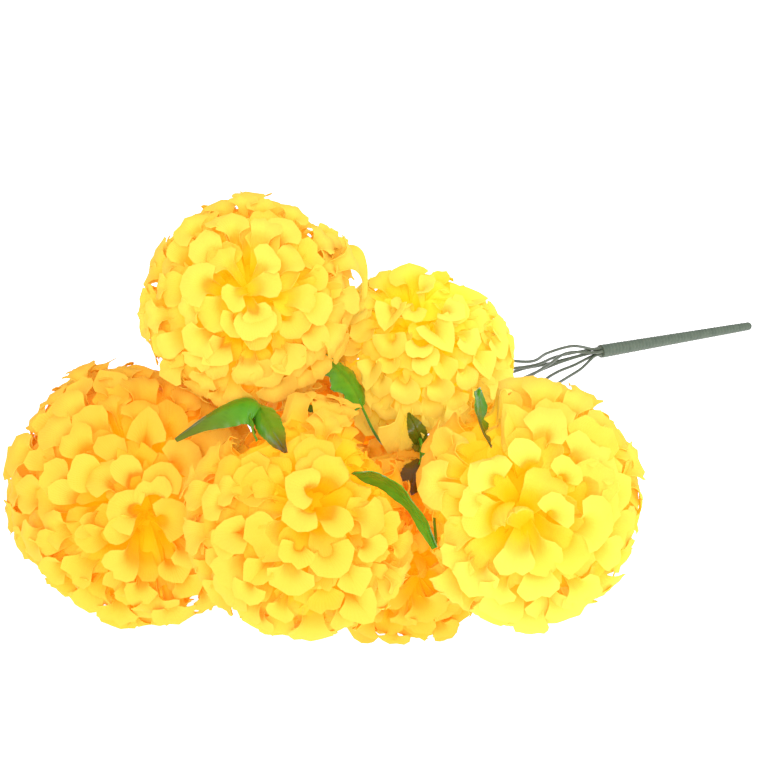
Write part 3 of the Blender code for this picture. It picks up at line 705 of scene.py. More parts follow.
# Room round each head. Petals give way from this share of the distance to a wall, may press this far
# into the floor before they lie flat on it, and stay this far short of the plane between two heads.
# Under a leaf they stop at these depths, for a petal's place and for its cloth, and rise again beside it
# by a slope. Leaves are marked at even steps, also a little way outside the head.
SOFT_FROM = 0.5
FLOOR_SINK = 3 * MM
WALL_GAP = 1.0 * MM
LEAF_ROOM = 6.5 * MM
UNDER_LEAF = 2.5 * MM
LEAF_SLOPE = 1.6
NEAR_HEAD = 3 * MM
BLADE_MARKS = 12
STALK_MARKS = 3

# A flat leaf keeps the sine of this angle free, as a share of its width, and a rolled one keeps more
FLAT_LEAF_ANGLE = 0.6
MOST_CURL = 170


def walls_of(head):
    """Planes that the head's petals stop at: (way towards the wall, its distance)."""
    place = middle_of(head)
    walls = [(Vector((0, 0, -1)), place.z + FLOOR_SINK)]
    for other in HEADS:
        if other != head:
            way = middle_of(other) - place
            both = radius_of(head) + radius_of(other)
            walls.append((way.normalized(), way.length * radius_of(head) / both - WALL_GAP))
    return [wall for wall in walls if wall[1] < radius_of(head)]


def leaf_marks(head):
    """Points on the leaves near a head, from its middle, with the half width kept free there."""
    marks = []
    for stalk, blade, width, curl, _, _ in (leaf for leaves in SPRAYS.values() for leaf in leaves):
        points = [row(p) for p in blade]
        rolled = math.radians(min(curl, MOST_CURL)) / 2
        half = 0.5 * width * CM * math.sin(rolled + FLAT_LEAF_ANGLE)
        for step in range(BLADE_MARKS + 1):
            t = step / BLADE_MARKS
            marks.append((bezier(points, t), half * (1.0 - 0.5 * abs(2 * t - 1))))
        for start, end in zip(stalk, stalk[1:] + [blade[0]]):
            for step in range(STALK_MARKS + 1):
                marks.append((row(start).lerp(row(end), step / STALK_MARKS), STALK_RADIUS))
    middle = middle_of(head)
    marks = [(place - middle, half) for place, half in marks]
    marks = [mark for mark in marks if mark[0].length < radius_of(head) + NEAR_HEAD]
    return marks + [(row(place) - middle, STALK_RADIUS) for place in PUSHED.get(head, ())]


def make_room(offsets, head, under_leaf, softly):
    """Moves points, given from the head's middle, under the leaves and behind the walls. Softly, they
    start to give way before a wall."""
    radius = radius_of(head)
    for mark, half in leaf_marks(head):
        mark = np.array(mark)
        reach = np.linalg.norm(offsets, axis=1)
        along = offsets @ mark
        beside = np.linalg.norm(offsets - np.outer(along / (mark @ mark), mark), axis=1)
        limit = math.sqrt(mark @ mark) - under_leaf
        limit = limit + np.maximum(0.0, beside - half - under_leaf) * LEAF_SLOPE
        over = (along > 0) & (reach > limit)
        offsets[over] *= (limit[over] / reach[over])[:, None]
    for way, distance in walls_of(head):
        way = np.array(way)
        along = offsets @ way
        start = SOFT_FROM * distance
        pressed = along - (radius - distance) * ((along - start) / (radius - start)) ** 2
        target = np.minimum(pressed if softly else along, distance)
        offsets += np.outer(np.where(along > start, target - along, 0.0), way)
    return offsets


PETAL_THICKNESS = 0.3 * MM

# Core of a head: its radius as a share of the head's, its ribs, and its segments round and up
CORE_SHARE = 0.50
CORE_RIBS = 8
CORE_RIB_HEIGHT = 0.05
CORE_ROUND = 24
CORE_UP = 14

# Long narrow petals that curl over: points, whose first and last only guide the ends, and width, all in
# cm
STRIPS = {
    "a": (((-23.6, 0.2, 18.2), (-22.9, 0.5, 18.0), (-22.1, 0.8, 17.8), (-21.2, 0.8, 17.8),
           (-20.6, 0.6, 17.4), (-20.4, 0.4, 16.6), (-20.5, 0.2, 15.9), (-20.9, -0.2, 15.3),
           (-21.6, -0.5, 14.8)), 0.95),
}

# A strip's side at its start and end, how much narrower it ends, its hollow as a share of its half
# width, and the depths that its colour starts and ends with, which give its start a little painted shade
STRIP_SIDES = (Vector((-0.1, 0.2, -1.0)), Vector((-0.9, -0.5, 0.1)))
STRIP_TAPER = 0.35
STRIP_HOLLOW = 0.25
STRIP_DEPTHS = (0.12, 0.0)
STRIP_ROWS = 25
STRIP_COLUMNS = 7


def make_bloom(head, tree, shapes, numbers, cloth):
    """A head: its petals on their rings, pressed where it lies against its neighbours, and its core."""
    bloom = add_object("petals_" + head, petal_points(head, numbers))
    scale = radius_of(head) / (SHAPE_HEAD_RADIUS * MM)
    run_tree(bloom, tree, {"Petal shapes": shapes, "Petal cloth": cloth, "Size": scale,
                           "Size spread": SIZE_SPREAD, "Roll": ROLL, "Seed": ord(head)})
    mesh = bloom.data
    middle = np.array(middle_of(head))
    offsets = points_of(mesh) - middle
    depth = 1 - np.linalg.norm(offsets, axis=1) / radius_of(head)
    points = make_room(offsets, head, UNDER_LEAF, softly=False) + middle
    points[:, 2] = np.maximum(points[:, 2], PETAL_THICKNESS / 2)
    mesh.vertices.foreach_set("co", points.ravel())
    store(mesh, "depth", depth)
    thicken(bloom, PETAL_THICKNESS)
    parts = [bloom, core_of(head)]
    if head in STRIPS:
        parts.append(curled_strip("strip_" + head, *STRIPS[head]))
    bloom = join(parts, "bloom_fine_" + head)
    # The head's golden colour: partly dye, mostly painted shade
    store(bloom.data, "gold_and_shade", np.full(len(bloom.data.vertices), HEAD_GOLD_AND_SHADE[head]))
    return dress(bloom, "bloom_" + head, cloth)


def curled_strip(name, points, width):
    """Narrow petal that bends over and down, with its side turned from upright towards the front."""
    path = smooth_path([row(p) for p in points], STRIP_ROWS)
    places = np.zeros((STRIP_ROWS, STRIP_COLUMNS, 3))
    for i, place in enumerate(path):
        share = i / (STRIP_ROWS - 1)
        side = STRIP_SIDES[0].lerp(STRIP_SIDES[1], float(smoothstep(share))).normalized()
        along = path[min(i + 1, STRIP_ROWS - 1)] - path[max(i - 1, 0)]
        hollow = side.cross(along).normalized()
        half = 0.5 * width * CM * (1 - STRIP_TAPER * share ** 3)
        for j, s in enumerate(np.linspace(-1, 1, STRIP_COLUMNS)):
            places[i, j] = place + side * (s * half) + hollow * (STRIP_HOLLOW * half * s * s)
    depths = np.repeat(np.linspace(*STRIP_DEPTHS, STRIP_ROWS), STRIP_COLUMNS)
    return thicken(add_object(name, grid_mesh(name, places, {"depth": depths})), PETAL_THICKNESS)


def core_of(head):
    """Small ribbed ball that the petals grow from."""
    bm = bmesh.new()
    radius = CORE_SHARE * radius_of(head)
    bmesh.ops.create_uvsphere(bm, u_segments=CORE_ROUND, v_segments=CORE_UP, radius=radius)
    for vert in bm.verts:
        turn = math.atan2(vert.co.y, vert.co.x)
        flatness = math.hypot(vert.co.x, vert.co.y) / vert.co.length
        vert.co *= 1 + CORE_RIB_HEIGHT * math.cos(CORE_RIBS * turn) * flatness
    bmesh.ops.rotate(bm, verts=bm.verts, matrix=facing(head).to_track_quat("Z", "Y").to_matrix())
    bmesh.ops.translate(bm, verts=bm.verts, vec=middle_of(head))
    mesh = bpy.data.meshes.new("core_" + head)
    bm.to_mesh(mesh)
    bm.free()
    # The core's depth gives it the deep orange painted shade and the painted glow of a head's inside
    store(mesh, "depth", np.full(len(mesh.vertices), 1 - CORE_SHARE))
    mesh.shade_smooth()
    return add_object("core_" + head, mesh)


# Cups, wires and handle


def turned_solid(name, profile, axis, place, steps, wave=None):
    """Solid turned from a profile of (radius, height) pairs. wave(turn, height) scales the radius."""
    rings = []
    for radius, height in profile:
        ring = []
        for k in range(steps):
            turn = 2 * math.pi * k / steps
            reach = radius * (wave(turn, height) if wave else 1.0)
            ring.append((reach * math.cos(turn), reach * math.sin(turn), height))
        rings.append(ring)
    mesh = grid_mesh(name, np.array(rings)[:, ::-1], closed=True)
    close_seams(mesh, "turned")
    mesh.transform(Matrix.Translation(place) @ axis.to_track_quat("Z", "Y").to_matrix().to_4x4())
    return add_object(name, mesh)


# Outside of a cup and of its neck: radius as a share of theirs, and height in mm from the rim
CUP_OUTSIDE = ((0.86, 0.0), (0.96, -0.4), (1.0, -1.2), (0.95, -2.6), (0.82, -5.0), (0.63, -7.2),
               (0.45, -9.0), (0.28, -10.8))
NECK_OUTSIDE = ((1.0, -12.0), (0.97, -13.4), (1.06, -14.0), (1.06, -15.0), (0.95, -15.6), (0.90, -19.6),
                (0.80, -20.0))
CUP_SIDES = 48
SEPALS = 6
SEPAL_CUT = 0.10
SEPAL_HEIGHT = 8 * MM


def make_calyx(head, plastic):
    """Green cup behind a head, with a scalloped rim of six sepals and a ring at its neck."""
    axis = facing(head)
    hole = WIRE_RADIUS + 1.5 * GAP
    floor = CUP_LENGTH - WIRE_HOLE_DEPTH
    profile = [(0.0, 0.0)]
    profile += [(CUP_RADIUS * share, height * MM) for share, height in CUP_OUTSIDE]
    profile += [(CUP_NECK_RADIUS * share, height * MM) for share, height in NECK_OUTSIDE]
    profile += [(hole, -CUP_LENGTH), (hole, -floor), (0.0, -floor)]

    def sepals(turn, height):
        rim = max(0.0, 1 + height / SEPAL_HEIGHT)
        return 1 - SEPAL_CUT * rim * (1 - abs(math.cos(SEPALS / 2 * turn))) ** 2

    cup = turned_solid("cup_" + head, profile, axis, seat_of(head) - axis * GAP, CUP_SIDES, sepals)
    return dress(cup, "calyx_" + head, plastic)


# A wire is straight for this far out of its cup and into the handle's end
CUP_LEAD = 2 * MM
HANDLE_LEAD = 6 * MM


def wire_guides(head):
    """Ends and guiding points of a head's wire, from inside its cup to the end of the handle."""
    back = -facing(head)
    start = seat_of(head) + back * (CUP_LENGTH - WIRE_HOLE_DEPTH + 2 * GAP)
    leave = seat_of(head) + back * (CUP_LENGTH + CUP_LEAD)
    along = (row(THIN_END) - row(THICK_END)).normalized()
    level = along.cross(Vector((0, 0, 1))).normalized()
    upright = level.cross(along)
    end = row(THICK_END) - along * GAP
    if head in BUNDLE_SIXTHS:
        turn = math.radians(60 * BUNDLE_SIXTHS[head])
        end = end + (upright * math.cos(turn) + level * math.sin(turn)) * WIRE_PITCH
    return [start, leave] + [row(p) for p in ROUTES[head]] + [end - along * HANDLE_LEAD, end]


def tube_mesh(name, points, radius, sides=12, tips=None):
    """Tube of even sides along points, closed at both ends. tips scales the radius along it."""
    curve = bpy.data.curves.new(name, "CURVE")
    curve.dimensions = "3D"
    curve.bevel_depth = radius
    curve.bevel_resolution = sides // 2 - 2
    curve.use_fill_caps = True
    spline = curve.splines.new("POLY")
    spline.points.add(len(points) - 1)
    for number, (point, place) in enumerate(zip(spline.points, points)):
        point.co = (*place, 1)
        point.radius = tips(number / (len(points) - 1)) if tips else 1.0
    drawn = add_object(name, curve)
    mesh = evaluated_mesh(drawn)
    bpy.data.objects.remove(drawn, do_unlink=True)
    close_seams(mesh, "tube")
    return mesh


WIRE_POINTS = 13
WIRE_FINE_POINTS = 70


def coarse_wire(head):
    """Even points of a wire. A spray's sleeve sits on the line between two of them."""
    guides = wire_guides(head)
    return [guides[0]] + smooth_path(guides, WIRE_POINTS) + [guides[-1]]


def make_stem(head, coat):
    """Coated wire from its cup to the handle, straight where a spray's sleeve sits on it."""
    coarse = coarse_wire(head)
    rest = smooth_path(coarse[1:] + [coarse[-1] * 2 - coarse[-2]], WIRE_FINE_POINTS)
    mesh = tube_mesh("wire_" + head, coarse[:2] + rest, WIRE_RADIUS)
    return dress(add_object("wire_" + head, mesh), "stem_" + head, coat)


# Tape: advance of a turn, height of its step, how late the step rises, and the handle's rings and sides.
# The tape starts a little past the thick end, and the tip bulges a little over the thin end.
TAPE_PITCH = 3.0 * MM
TAPE_LIFT = 0.32 * MM
TAPE_RISE = 1.6
TAPE_RINGS = 420
TAPE_SIDES = 36
TAPE_SET_BACK = 0.4 * MM
TIP_BULGE = 1.05
TIP_ROUNDS = 10
TIP_SIDES = 32


def tape_tree():
    """Tape wound round a line: a tube whose wall rises in a slanted step at each turn of the tape."""
    tree, given, result = geometry_tree("wound tape", (
        ("Tape", "Material"), ("Thick radius", "Float"), ("Thin radius", "Float"), ("Pitch", "Float"),
        ("Lift", "Float"), ("Rings", "Int"), ("Sides", "Int")))
    line = add_node(tree, "GeometryNodeMeshToCurve", {"Mesh": given["Geometry"]})
    even = add_node(tree, "GeometryNodeResampleCurve", {
        "Curve": output(line), "Count": given["Rings"]}, mode="COUNT")
    along = add_node(tree, "GeometryNodeSplineParameter")
    marked = store_named(tree, output(even), "share", output(along, "Factor"), "POINT")
    marked = store_named(tree, marked, "length", output(along, "Length"), "POINT")
    ring = add_node(tree, "GeometryNodeCurvePrimitiveCircle", {
        "Resolution": given["Sides"], "Radius": 1.0}, mode="RADIUS")
    round_ring = add_node(tree, "GeometryNodeSplineParameter")
    ring = store_named(tree, output(ring), "round", output(round_ring, "Factor"), "POINT")
    radius = add_node(tree, "ShaderNodeMapRange", {
        "Value": named_value(tree, "share"), "To Min": given["Thick radius"],
        "To Max": given["Thin radius"]})
    wound = add_node(tree, "GeometryNodeCurveToMesh", {
        "Curve": marked, "Profile Curve": ring, "Scale": output(radius), "Fill Caps": True})
    turns = maths(tree, "DIVIDE", named_value(tree, "length"), given["Pitch"])
    wraps = maths(tree, "FRACT", maths(tree, "ADD", turns, named_value(tree, "round")))
    step = maths(tree, "MULTIPLY", maths(tree, "POWER", wraps, TAPE_RISE), given["Lift"])
    push = add_node(tree, "ShaderNodeVectorMath", {
        "Vector": output(add_node(tree, "GeometryNodeInputNormal")), "Scale": step}, operation="SCALE")
    lifted = add_node(tree, "GeometryNodeSetPosition", {
        "Geometry": store_named(tree, output(wound), "wrap", wraps, "POINT"), "Offset": output(push)})
    return finish_tree(tree, output(lifted), given["Tape"], result)


def make_handle(tape):
    """The tapered handle under its wound tape, with a rounded tip."""
    start, end = row(THICK_END), row(THIN_END)
    along = (end - start).normalized()
    mesh = bpy.data.meshes.new("handle_line")
    ends = [(start + along * TAPE_SET_BACK)[:], (end - along * THIN_END_RADIUS)[:]]
    mesh.from_pydata(ends, [(0, 1)], [])
    handle = add_object("handle_line", mesh)
    run_tree(handle, tape_tree(), {
        "Tape": tape, "Thick radius": THICK_END_RADIUS, "Thin radius": THIN_END_RADIUS, "Pitch": TAPE_PITCH,
        "Lift": TAPE_LIFT, "Rings": TAPE_RINGS, "Sides": TAPE_SIDES})
    round_off(handle.data, "tape")
    profile = [(0.0, 0.0), (THIN_END_RADIUS * 0.98, 0.0)]
    for i in range(TIP_ROUNDS + 1):
        bend = math.pi / 2 * i / TIP_ROUNDS
        radius = THIN_END_RADIUS * TIP_BULGE * math.cos(bend)
        profile.append((radius, -THIN_END_RADIUS * math.sin(bend)))
    tip = turned_solid("handle_tip", profile, -along, end - along * THIN_END_RADIUS, TIP_SIDES)
    handle = join([handle, tip], "taped_handle")
    points = points_of(handle.data)
    points[:, 2] = np.maximum(points[:, 2], 0.0)
    handle.data.vertices.foreach_set("co", points.ravel())
    return dress(handle, "handle", tape)


# Leaves

# Half width of a leaf at even stations, as a share of the widest
LEAF_OUTLINES = {
    "plain": (0.22, 0.85, 0.95, 0.80, 0.50, 0.06),
    "lobed": (0.25, 0.95, 0.50, 1.00, 0.48, 0.90, 0.10),
    "band": (0.40, 0.55, 0.62, 0.80, 1.00, 0.85, 0.25),
}
LEAF_ROWS = 41
LEAF_COLUMNS = 15
LEAF_THICKNESS = 0.5 * MM

# Relief of a leaf: its teeth, as a share of the half width, its side veins and their slant, how deep
# they and the midrib are sunk, the midrib's half width in relief and in colour, and the waves of its edge
TEETH = 11
TOOTH_DEPTH = 0.10
SIDE_VEINS = 7
VEIN_SLANT = 1.3
VEIN_DEPTH = 0.22 * MM
MIDRIB_DEPTH = 0.5 * MM
MIDRIB_WIDTH = 0.10
MIDRIB_LINE = 0.08
EDGE_WAVE = 0.5 * MM
EDGE_TURNS = (19, 2)

# As shares of a leaf: the length over which it turns brown, or dark as painted shade, how far its stalk
# runs on into its blade, and the step over which its midrib's way is taken
BROWN_AND_SHADE_SPAN = 0.5
INTO_BLADE = 0.12
TANGENT_STEP = 0.02
STALK_POINTS = 24


def leaf_blade(name, points, width, curl, widths, brown_and_shade):
    """Waved and toothed blade along a bent midrib, rolled about it by the curl, with sunk veins."""
    points = [row(p) for p in points]
    chord = points[2] - points[0]
    normal = chord.cross(points[1] - points[0]).normalized()
    bend_side = normal.cross(chord).normalized()
    if bend_side.dot(points[1] - points[0]) < 0:
        bend_side = -bend_side
    half_curl = math.radians(curl) / 2
    kernel = np.hanning(5)
    outline = np.interp(np.linspace(-0.1, 1.1, LEAF_ROWS + 10), np.linspace(0, 1, len(widths)), widths)
    outline = np.convolve(outline, kernel / kernel.sum(), "same")[5:-5]
    t_grid, s_grid = np.meshgrid(
        np.linspace(0, 1, LEAF_ROWS), np.linspace(-1, 1, LEAF_COLUMNS), indexing="ij")
    veins = np.cos(2 * np.pi * (t_grid * SIDE_VEINS - np.abs(s_grid) * VEIN_SLANT))
    veins = np.maximum(0, veins) ** 6
    edge = np.abs(s_grid) ** 3
    waves = np.sin(t_grid * EDGE_TURNS[0] + s_grid * EDGE_TURNS[1])
    sunk = (VEIN_DEPTH * veins * (1 - edge) + MIDRIB_DEPTH * np.exp(-(s_grid / MIDRIB_WIDTH) ** 2)
            - EDGE_WAVE * waves * edge)
    places = np.zeros((LEAF_ROWS, LEAF_COLUMNS, 3))
    for i, t in enumerate(t_grid[:, 0]):
        place = bezier(points, t)
        ahead, behind = bezier(points, min(t + TANGENT_STEP, 1)), bezier(points, max(t - TANGENT_STEP, 0))
        tangent = (ahead - behind).normalized()
        top = normal.cross(tangent).normalized()
        if top.dot(bend_side) < 0:
            top = -top
        bow = outline[i] * width * CM / 2 / half_curl
        tooth = TOOTH_DEPTH * ((t * TEETH) % 1.0)
        for j, s in enumerate(s_grid[0]):
            roll = half_curl * s
            spot = place + normal * (bow * math.sin(roll) * (1 + tooth * edge[i, j]))
            places[i, j] = spot - top * (bow * (1 - math.cos(roll)) + sunk[i, j])
    values = {"vein": np.maximum(veins, np.exp(-(s_grid / MIDRIB_LINE) ** 2)),
              "brown_and_shade": brown_and_shade[0] * smoothstep((t_grid - brown_and_shade[1]) / BROWN_AND_SHADE_SPAN)}
    return thicken(add_object(name, grid_mesh(name, places, values)), LEAF_THICKNESS)


def make_spray(head, plastic):
    """Sleeve round the wire with its stalks and leaves."""
    before, after = coarse_wire(head)[SLEEVE_STRETCH:SLEEVE_STRETCH + 2]
    root = (before + after) / 2
    half = (after - before).normalized() * (SLEEVE_LENGTH / 2)
    sleeve = tube_mesh("sleeve_" + head, [root + half * k for k in (-1, -0.9, 0, 0.9, 1)], SLEEVE_RADIUS,
                       sides=16, tips=lambda t: 0.9 if t in (0, 1) else 1.0)
    parts = [add_object("sleeve_" + head, sleeve)]
    for number, (stalk, blade, width, curl, outline, brown_and_shade) in enumerate(SPRAYS[head]):
        inside = bezier([row(p) for p in blade], INTO_BLADE)
        points = [row(p) for p in stalk] + [row(blade[0]), inside]
        points = smooth_path([root * 2 - points[0], root] + points + [inside], STALK_POINTS)
        name = f"{head}_{number}"
        stalk_mesh = tube_mesh("stalk_" + name, points, STALK_RADIUS, sides=10,
                               tips=lambda t: 1.15 - 0.45 * t)
        parts.append(add_object("stalk_" + name, stalk_mesh))
        parts.append(leaf_blade("blade_" + name, blade, width, curl, LEAF_OUTLINES[outline], brown_and_shade))
    spray = join(parts, "leaves_" + head)
    return dress(spray, "leaf_" + head, plastic)


# Materials


def new_material(name):
    """A material with its tree and its shader."""
    material = bpy.data.materials.new(name)
    material.use_nodes = True
    return material, material.node_tree, material.node_tree.nodes["Principled BSDF"]


def finish_surface(tree, shader, colour, relief, roughness, specular=0.5):
    """Gives a shader its colour, its fine relief and its gloss."""
    tree.links.new(colour, shader.inputs["Base Color"])
    tree.links.new(relief, shader.inputs["Normal"])
    shader.inputs["Roughness"].default_value = roughness
    shader.inputs["Specular IOR Level"].default_value = specular


def attribute(tree, name):
    return add_node(tree, "ShaderNodeAttribute", attribute_name=name).outputs["Fac"]


def ramp(tree, value, stops):
    """Colour ramp with stops of (place, (r, g, b)) in linear colour."""
    node = add_node(tree, "ShaderNodeValToRGB", {"Fac": value})
    while len(node.color_ramp.elements) < len(stops):
        node.color_ramp.elements.new(0.5)
    for element, (place, colour) in zip(node.color_ramp.elements, stops):
        element.position = place
        element.color = (*colour, 1)
    return node.outputs["Color"]


def mix_colours(tree, share, first, second, blend="MIX"):
    """Mix of a linked colour with a second colour, given as (r, g, b)."""
    return output(add_node(tree, "ShaderNodeMix", {"Factor": share, "A": first, "B": (*second, 1)},
                           data_type="RGBA", blend_type=blend))


def noise(tree, scale, detail):
    place = add_node(tree, "ShaderNodeTexCoord").outputs["Object"]
    node = add_node(tree, "ShaderNodeTexNoise", {"Scale": scale, "Detail": detail, "Vector": place})
    return node.outputs["Fac"]


def mottled(tree, scale, detail, colours):
    """Two colours that run into each other in soft patches."""
    return ramp(tree, noise(tree, scale, detail), ((0.3, colours[0]), (0.7, colours[1])))


def bump(tree, height, distance, strength):
    node = add_node(tree, "ShaderNodeBump", {"Height": height, "Distance": distance, "Strength": strength})
    return node.outputs["Normal"]


# Cloth from the outside of a head to its inside, by depth as a share of the radius: lemon outside, turning
# orange deeper in as painted shade;
# and each head's golden colour, partly its dye and partly painted shade
PETAL_COLOURS_AND_DEPTH_SHADE = (
    (0.00, (0.98, 0.80, 0.072)), (0.10, (0.98, 0.765, 0.052)), (0.25, (0.98, 0.71, 0.018)),
    (0.40, (0.98, 0.57, 0.004)), (0.58, (0.98, 0.37, 0.001)), (0.85, (0.98, 0.16, 0.0004)))
GOLD_AND_SHADE_COLOUR = (1.0, 0.64, 0.35)
UNEVEN_DYE = 0.10
LIGHT_THROUGH = 0.42

# Painted light: a glow of the cloth that stands for light reaching the inside of a head through many thin
# petals, and the depths where it sets in
PAINTED_INNER_GLOW = 0.68
GLOW_FROM = 0.10
GLOW_TO = 0.45

LEAF_GREENS = ((0.030, 0.160, 0.003), (0.056, 0.222, 0.005))
VEIN_GREEN = (0.014, 0.090, 0.002)
# Brown of real tips, also used as painted shade on leaves in shadow
LEAF_BROWN_AND_SHADE = (0.062, 0.027, 0.001)
CUP_GREENS = ((0.030, 0.085, 0.010), (0.050, 0.120, 0.016))
WIRE_GREENS = ((0.024, 0.034, 0.018), (0.044, 0.056, 0.034))
TAPE_GREENS = ((0.026, 0.042, 0.026), (0.046, 0.066, 0.042))
TAPE_EDGE_HIGHLIGHT = (0.080, 0.102, 0.074)
TAPE_GROOVE_SHADE = (0.010, 0.018, 0.010)


def petal_cloth():
    """Thin dyed lemon cloth with a fine weave. Painted shade turns it orange where it goes down into the
    head, a painted glow lifts its inside, and each head's golden colour is partly dye and partly painted
    shade.
    """
    material, tree, shader = new_material("petal cloth")
    material.cycles.emission_sampling = "NONE"
    depth = attribute(tree, "depth")

    def uneven(amount, under, clamp=False):
        centred = maths(tree, "SUBTRACT", amount, 0.5)
        return maths(tree, "MULTIPLY_ADD", centred, UNEVEN_DYE, under, clamp=clamp)

    # Painted shade: the cloth turns from lemon to orange with depth into the head, besides its random tone
    depth_shade_and_tone = uneven(attribute(tree, "tone"), uneven(noise(tree, 60, 3), depth), clamp=True)
    colour = ramp(tree, depth_shade_and_tone, PETAL_COLOURS_AND_DEPTH_SHADE)
    # Each head turned golden: partly the cloth's dye, mostly painted shade for heads further from the light
    # or in shadow
    colour = mix_colours(tree, attribute(tree, "gold_and_shade"), colour, GOLD_AND_SHADE_COLOUR, blend="MULTIPLY")
    uv = add_node(tree, "ShaderNodeUVMap", uv_map="cloth").outputs["UV"]
    threads = [add_node(tree, "ShaderNodeTexWave", {"Vector": uv, "Scale": 0.55, "Distortion": 0.6},
                        wave_type="BANDS", bands_direction=way).outputs["Fac"] for way in ("X", "Y")]
    weave = maths(tree, "ADD", *threads)
    relief = bump(tree, maths(tree, "MULTIPLY_ADD", noise(tree, 160, 4), 2.0, weave), 0.08 * MM, 0.6)
    finish_surface(tree, shader, colour, relief, 0.75, 0.05)
    # Painted light: the cloth glows more the deeper it lies in the head, lifting the shade there
    inside = add_node(tree, "ShaderNodeMapRange", {
        "Value": depth, "From Min": GLOW_FROM, "From Max": GLOW_TO, "To Max": PAINTED_INNER_GLOW},
        interpolation_type="SMOOTHSTEP")
    tree.links.new(colour, shader.inputs["Emission Color"])
    tree.links.new(output(inside), shader.inputs["Emission Strength"])
    through = add_node(tree, "ShaderNodeBsdfTranslucent", {"Color": colour, "Normal": relief})
    blend = add_node(tree, "ShaderNodeMixShader", {"Fac": LIGHT_THROUGH})
    tree.links.new(shader.outputs[0], blend.inputs[1])
    tree.links.new(through.outputs[0], blend.inputs[2])
    tree.links.new(blend.outputs[0], tree.nodes["Material Output"].inputs["Surface"])
    return material


def leaf_plastic():
    """Glossy moulded leaf: mid green with darker veins, browned towards some tips, and dark all along as
    painted shade on leaves in shadow.
    """
    material, tree, shader = new_material("leaf plastic")
    green = mottled(tree, 90, 3, LEAF_GREENS)
    vein = maths(tree, "MULTIPLY", attribute(tree, "vein"), 0.45)
    veined = mix_colours(tree, vein, green, VEIN_GREEN)
    # Brown of some real tips, and painted shade on leaves that lie in shadow
    colour = mix_colours(tree, attribute(tree, "brown_and_shade"), veined, LEAF_BROWN_AND_SHADE)
    finish_surface(tree, shader, colour, bump(tree, noise(tree, 900, 2), 0.06 * MM, 0.5), 0.28, 0.10)
    return material


def calyx_plastic():
    """Plain moulded green of the cups."""
    material, tree, shader = new_material("calyx plastic")
    grain = bump(tree, noise(tree, 700, 2), 0.08 * MM, 0.5)
    finish_surface(tree, shader, mottled(tree, 120, 3, CUP_GREENS), grain, 0.45)
    return material


def wire_coat():
    """Dark grey-green plastic coat with a dull sheen."""
    material, tree, shader = new_material("wire coat")
    grain = bump(tree, noise(tree, 1500, 2), 0.06 * MM, 0.6)
    finish_surface(tree, shader, mottled(tree, 140, 4, WIRE_GREENS), grain, 0.42, 0.30)
    return material


def stem_tape():
    """Waxed paper tape: grey-green, creased, with painted shade in the steps between its turns and a
    painted highlight on the raised edge of each turn.
    """
    material, tree, shader = new_material("stem tape")
    wrap = attribute(tree, "wrap")
    edge = maths(tree, "MULTIPLY", maths(tree, "POWER", wrap, 5.0), 0.55)
    groove_shade = maths(tree, "POWER", maths(tree, "SUBTRACT", 1.0, wrap), 7.0)
    # Painted highlight on the raised edge and painted shade in the low step of each turn
    colour = mix_colours(tree, edge, mottled(tree, 220, 4, TAPE_GREENS), TAPE_EDGE_HIGHLIGHT)
    colour = mix_colours(tree, maths(tree, "MULTIPLY", groove_shade, 0.6), colour, TAPE_GROOVE_SHADE)
    finish_surface(tree, shader, colour, bump(tree, noise(tree, 1200, 3), 0.12 * MM, 0.7), 0.6, 0.25)
    return material


# Floor, light and camera. The floor glows, so that the ground is as white as in the photo. The gamma
# stands for the photo's long exposure.
FLOOR_REACH = 40.0
FLOOR_WHITE = 0.92
FLOOR_GLOW = 1.0
SKY_STRENGTH = 0.80
VIEW_GAMMA = 1.32

# Lamps: place in metres, side in metres and power in watts, all turned to one point on the bouquet
LAMPS = {
    "front": ((-1.0, -1.05, 1.10), 0.7, 27),
    "key": ((0.4, -0.8, 1.5), 1.0, 14),
}
LIT_POINT = Vector((-0.1, 0.0, 0.05))


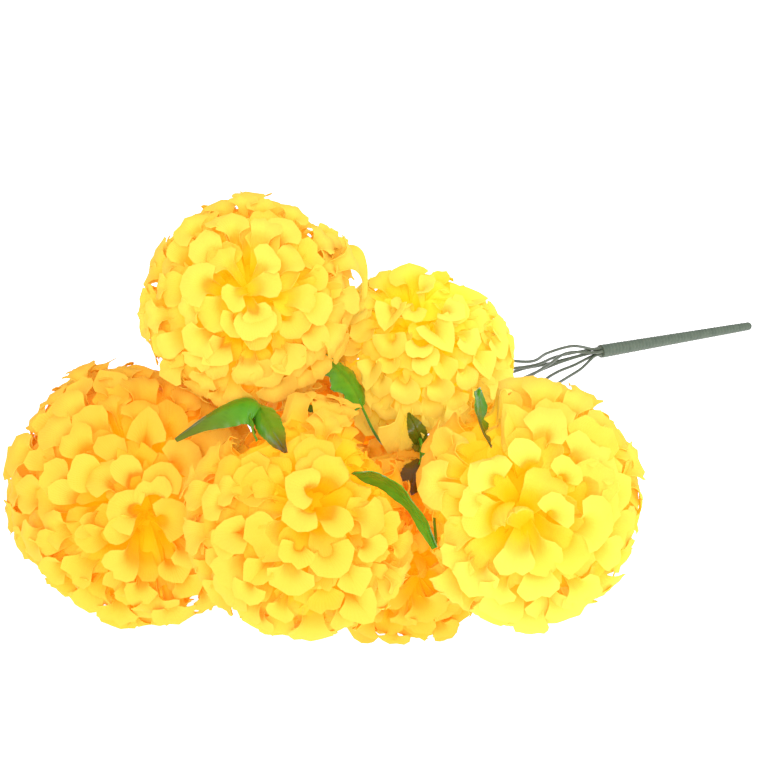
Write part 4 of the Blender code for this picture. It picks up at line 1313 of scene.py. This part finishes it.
def make_stage():
    """White floor, which isn't part of the bouquet."""
    bm = bmesh.new()
    bmesh.ops.create_grid(bm, x_segments=1, y_segments=1, size=FLOOR_REACH)
    mesh = bpy.data.meshes.new("table_top")
    bm.to_mesh(mesh)
    bm.free()
    floor = add_object("table_top", mesh)
    material, _, shader = new_material("white table")
    shader.inputs["Base Color"].default_value = (FLOOR_WHITE, FLOOR_WHITE, FLOOR_WHITE, 1)
    shader.inputs["Roughness"].default_value = 0.9
    shader.inputs["Specular IOR Level"].default_value = 0.0
    shader.inputs["Emission Color"].default_value = (1, 1, 1, 1)
    shader.inputs["Emission Strength"].default_value = FLOOR_GLOW
    mesh.materials.append(material)


def make_light():
    """A white sky and two soft lamps."""
    world = bpy.data.worlds.new("soft white")
    world.use_nodes = True
    sky = world.node_tree.nodes["Background"]
    sky.inputs["Color"].default_value = (1, 1, 1, 1)
    sky.inputs["Strength"].default_value = SKY_STRENGTH
    bpy.context.scene.world = world
    for name, (place, side, power) in LAMPS.items():
        lamp = bpy.data.lights.new(name, "AREA")
        lamp.shape = "SQUARE"
        lamp.size = side
        lamp.energy = power
        light = link(bpy.data.objects.new(name, lamp))
        light.location = place
        light.rotation_mode = "QUATERNION"
        light.rotation_quaternion = (LIT_POINT - Vector(place)).to_track_quat("-Z", "Y")


def make_camera():
    lens = bpy.data.cameras.new("camera")
    lens.lens = LENS_MM
    lens.sensor_width = SENSOR_MM
    lens.clip_start = 0.01
    camera = link(bpy.data.objects.new("camera", lens))
    camera.location = row(CAMERA_PLACE)
    camera.rotation_mode = "QUATERNION"
    camera.rotation_quaternion = CAMERA_WAY.to_track_quat("-Z", "Y")
    bpy.context.scene.camera = camera


def main():
    cloth = petal_cloth()
    cup = calyx_plastic()
    leaf = leaf_plastic()
    coat = wire_coat()
    tape = stem_tape()
    shapes, numbers = petal_shapes()
    tree = petal_tree()
    make_handle(tape)
    for head in HEADS:
        make_stem(head, coat)
        make_calyx(head, cup)
        make_bloom(head, tree, shapes, numbers, cloth)
        if head in SPRAYS:
            make_spray(head, leaf)
    for obj in list(shapes.objects):
        bpy.data.objects.remove(obj, do_unlink=True)
    bpy.data.collections.remove(shapes)
    make_stage()
    make_light()
    make_camera()
    bpy.context.scene.view_settings.view_transform = "Standard"
    bpy.context.scene.view_settings.gamma = VIEW_GAMMA


main()
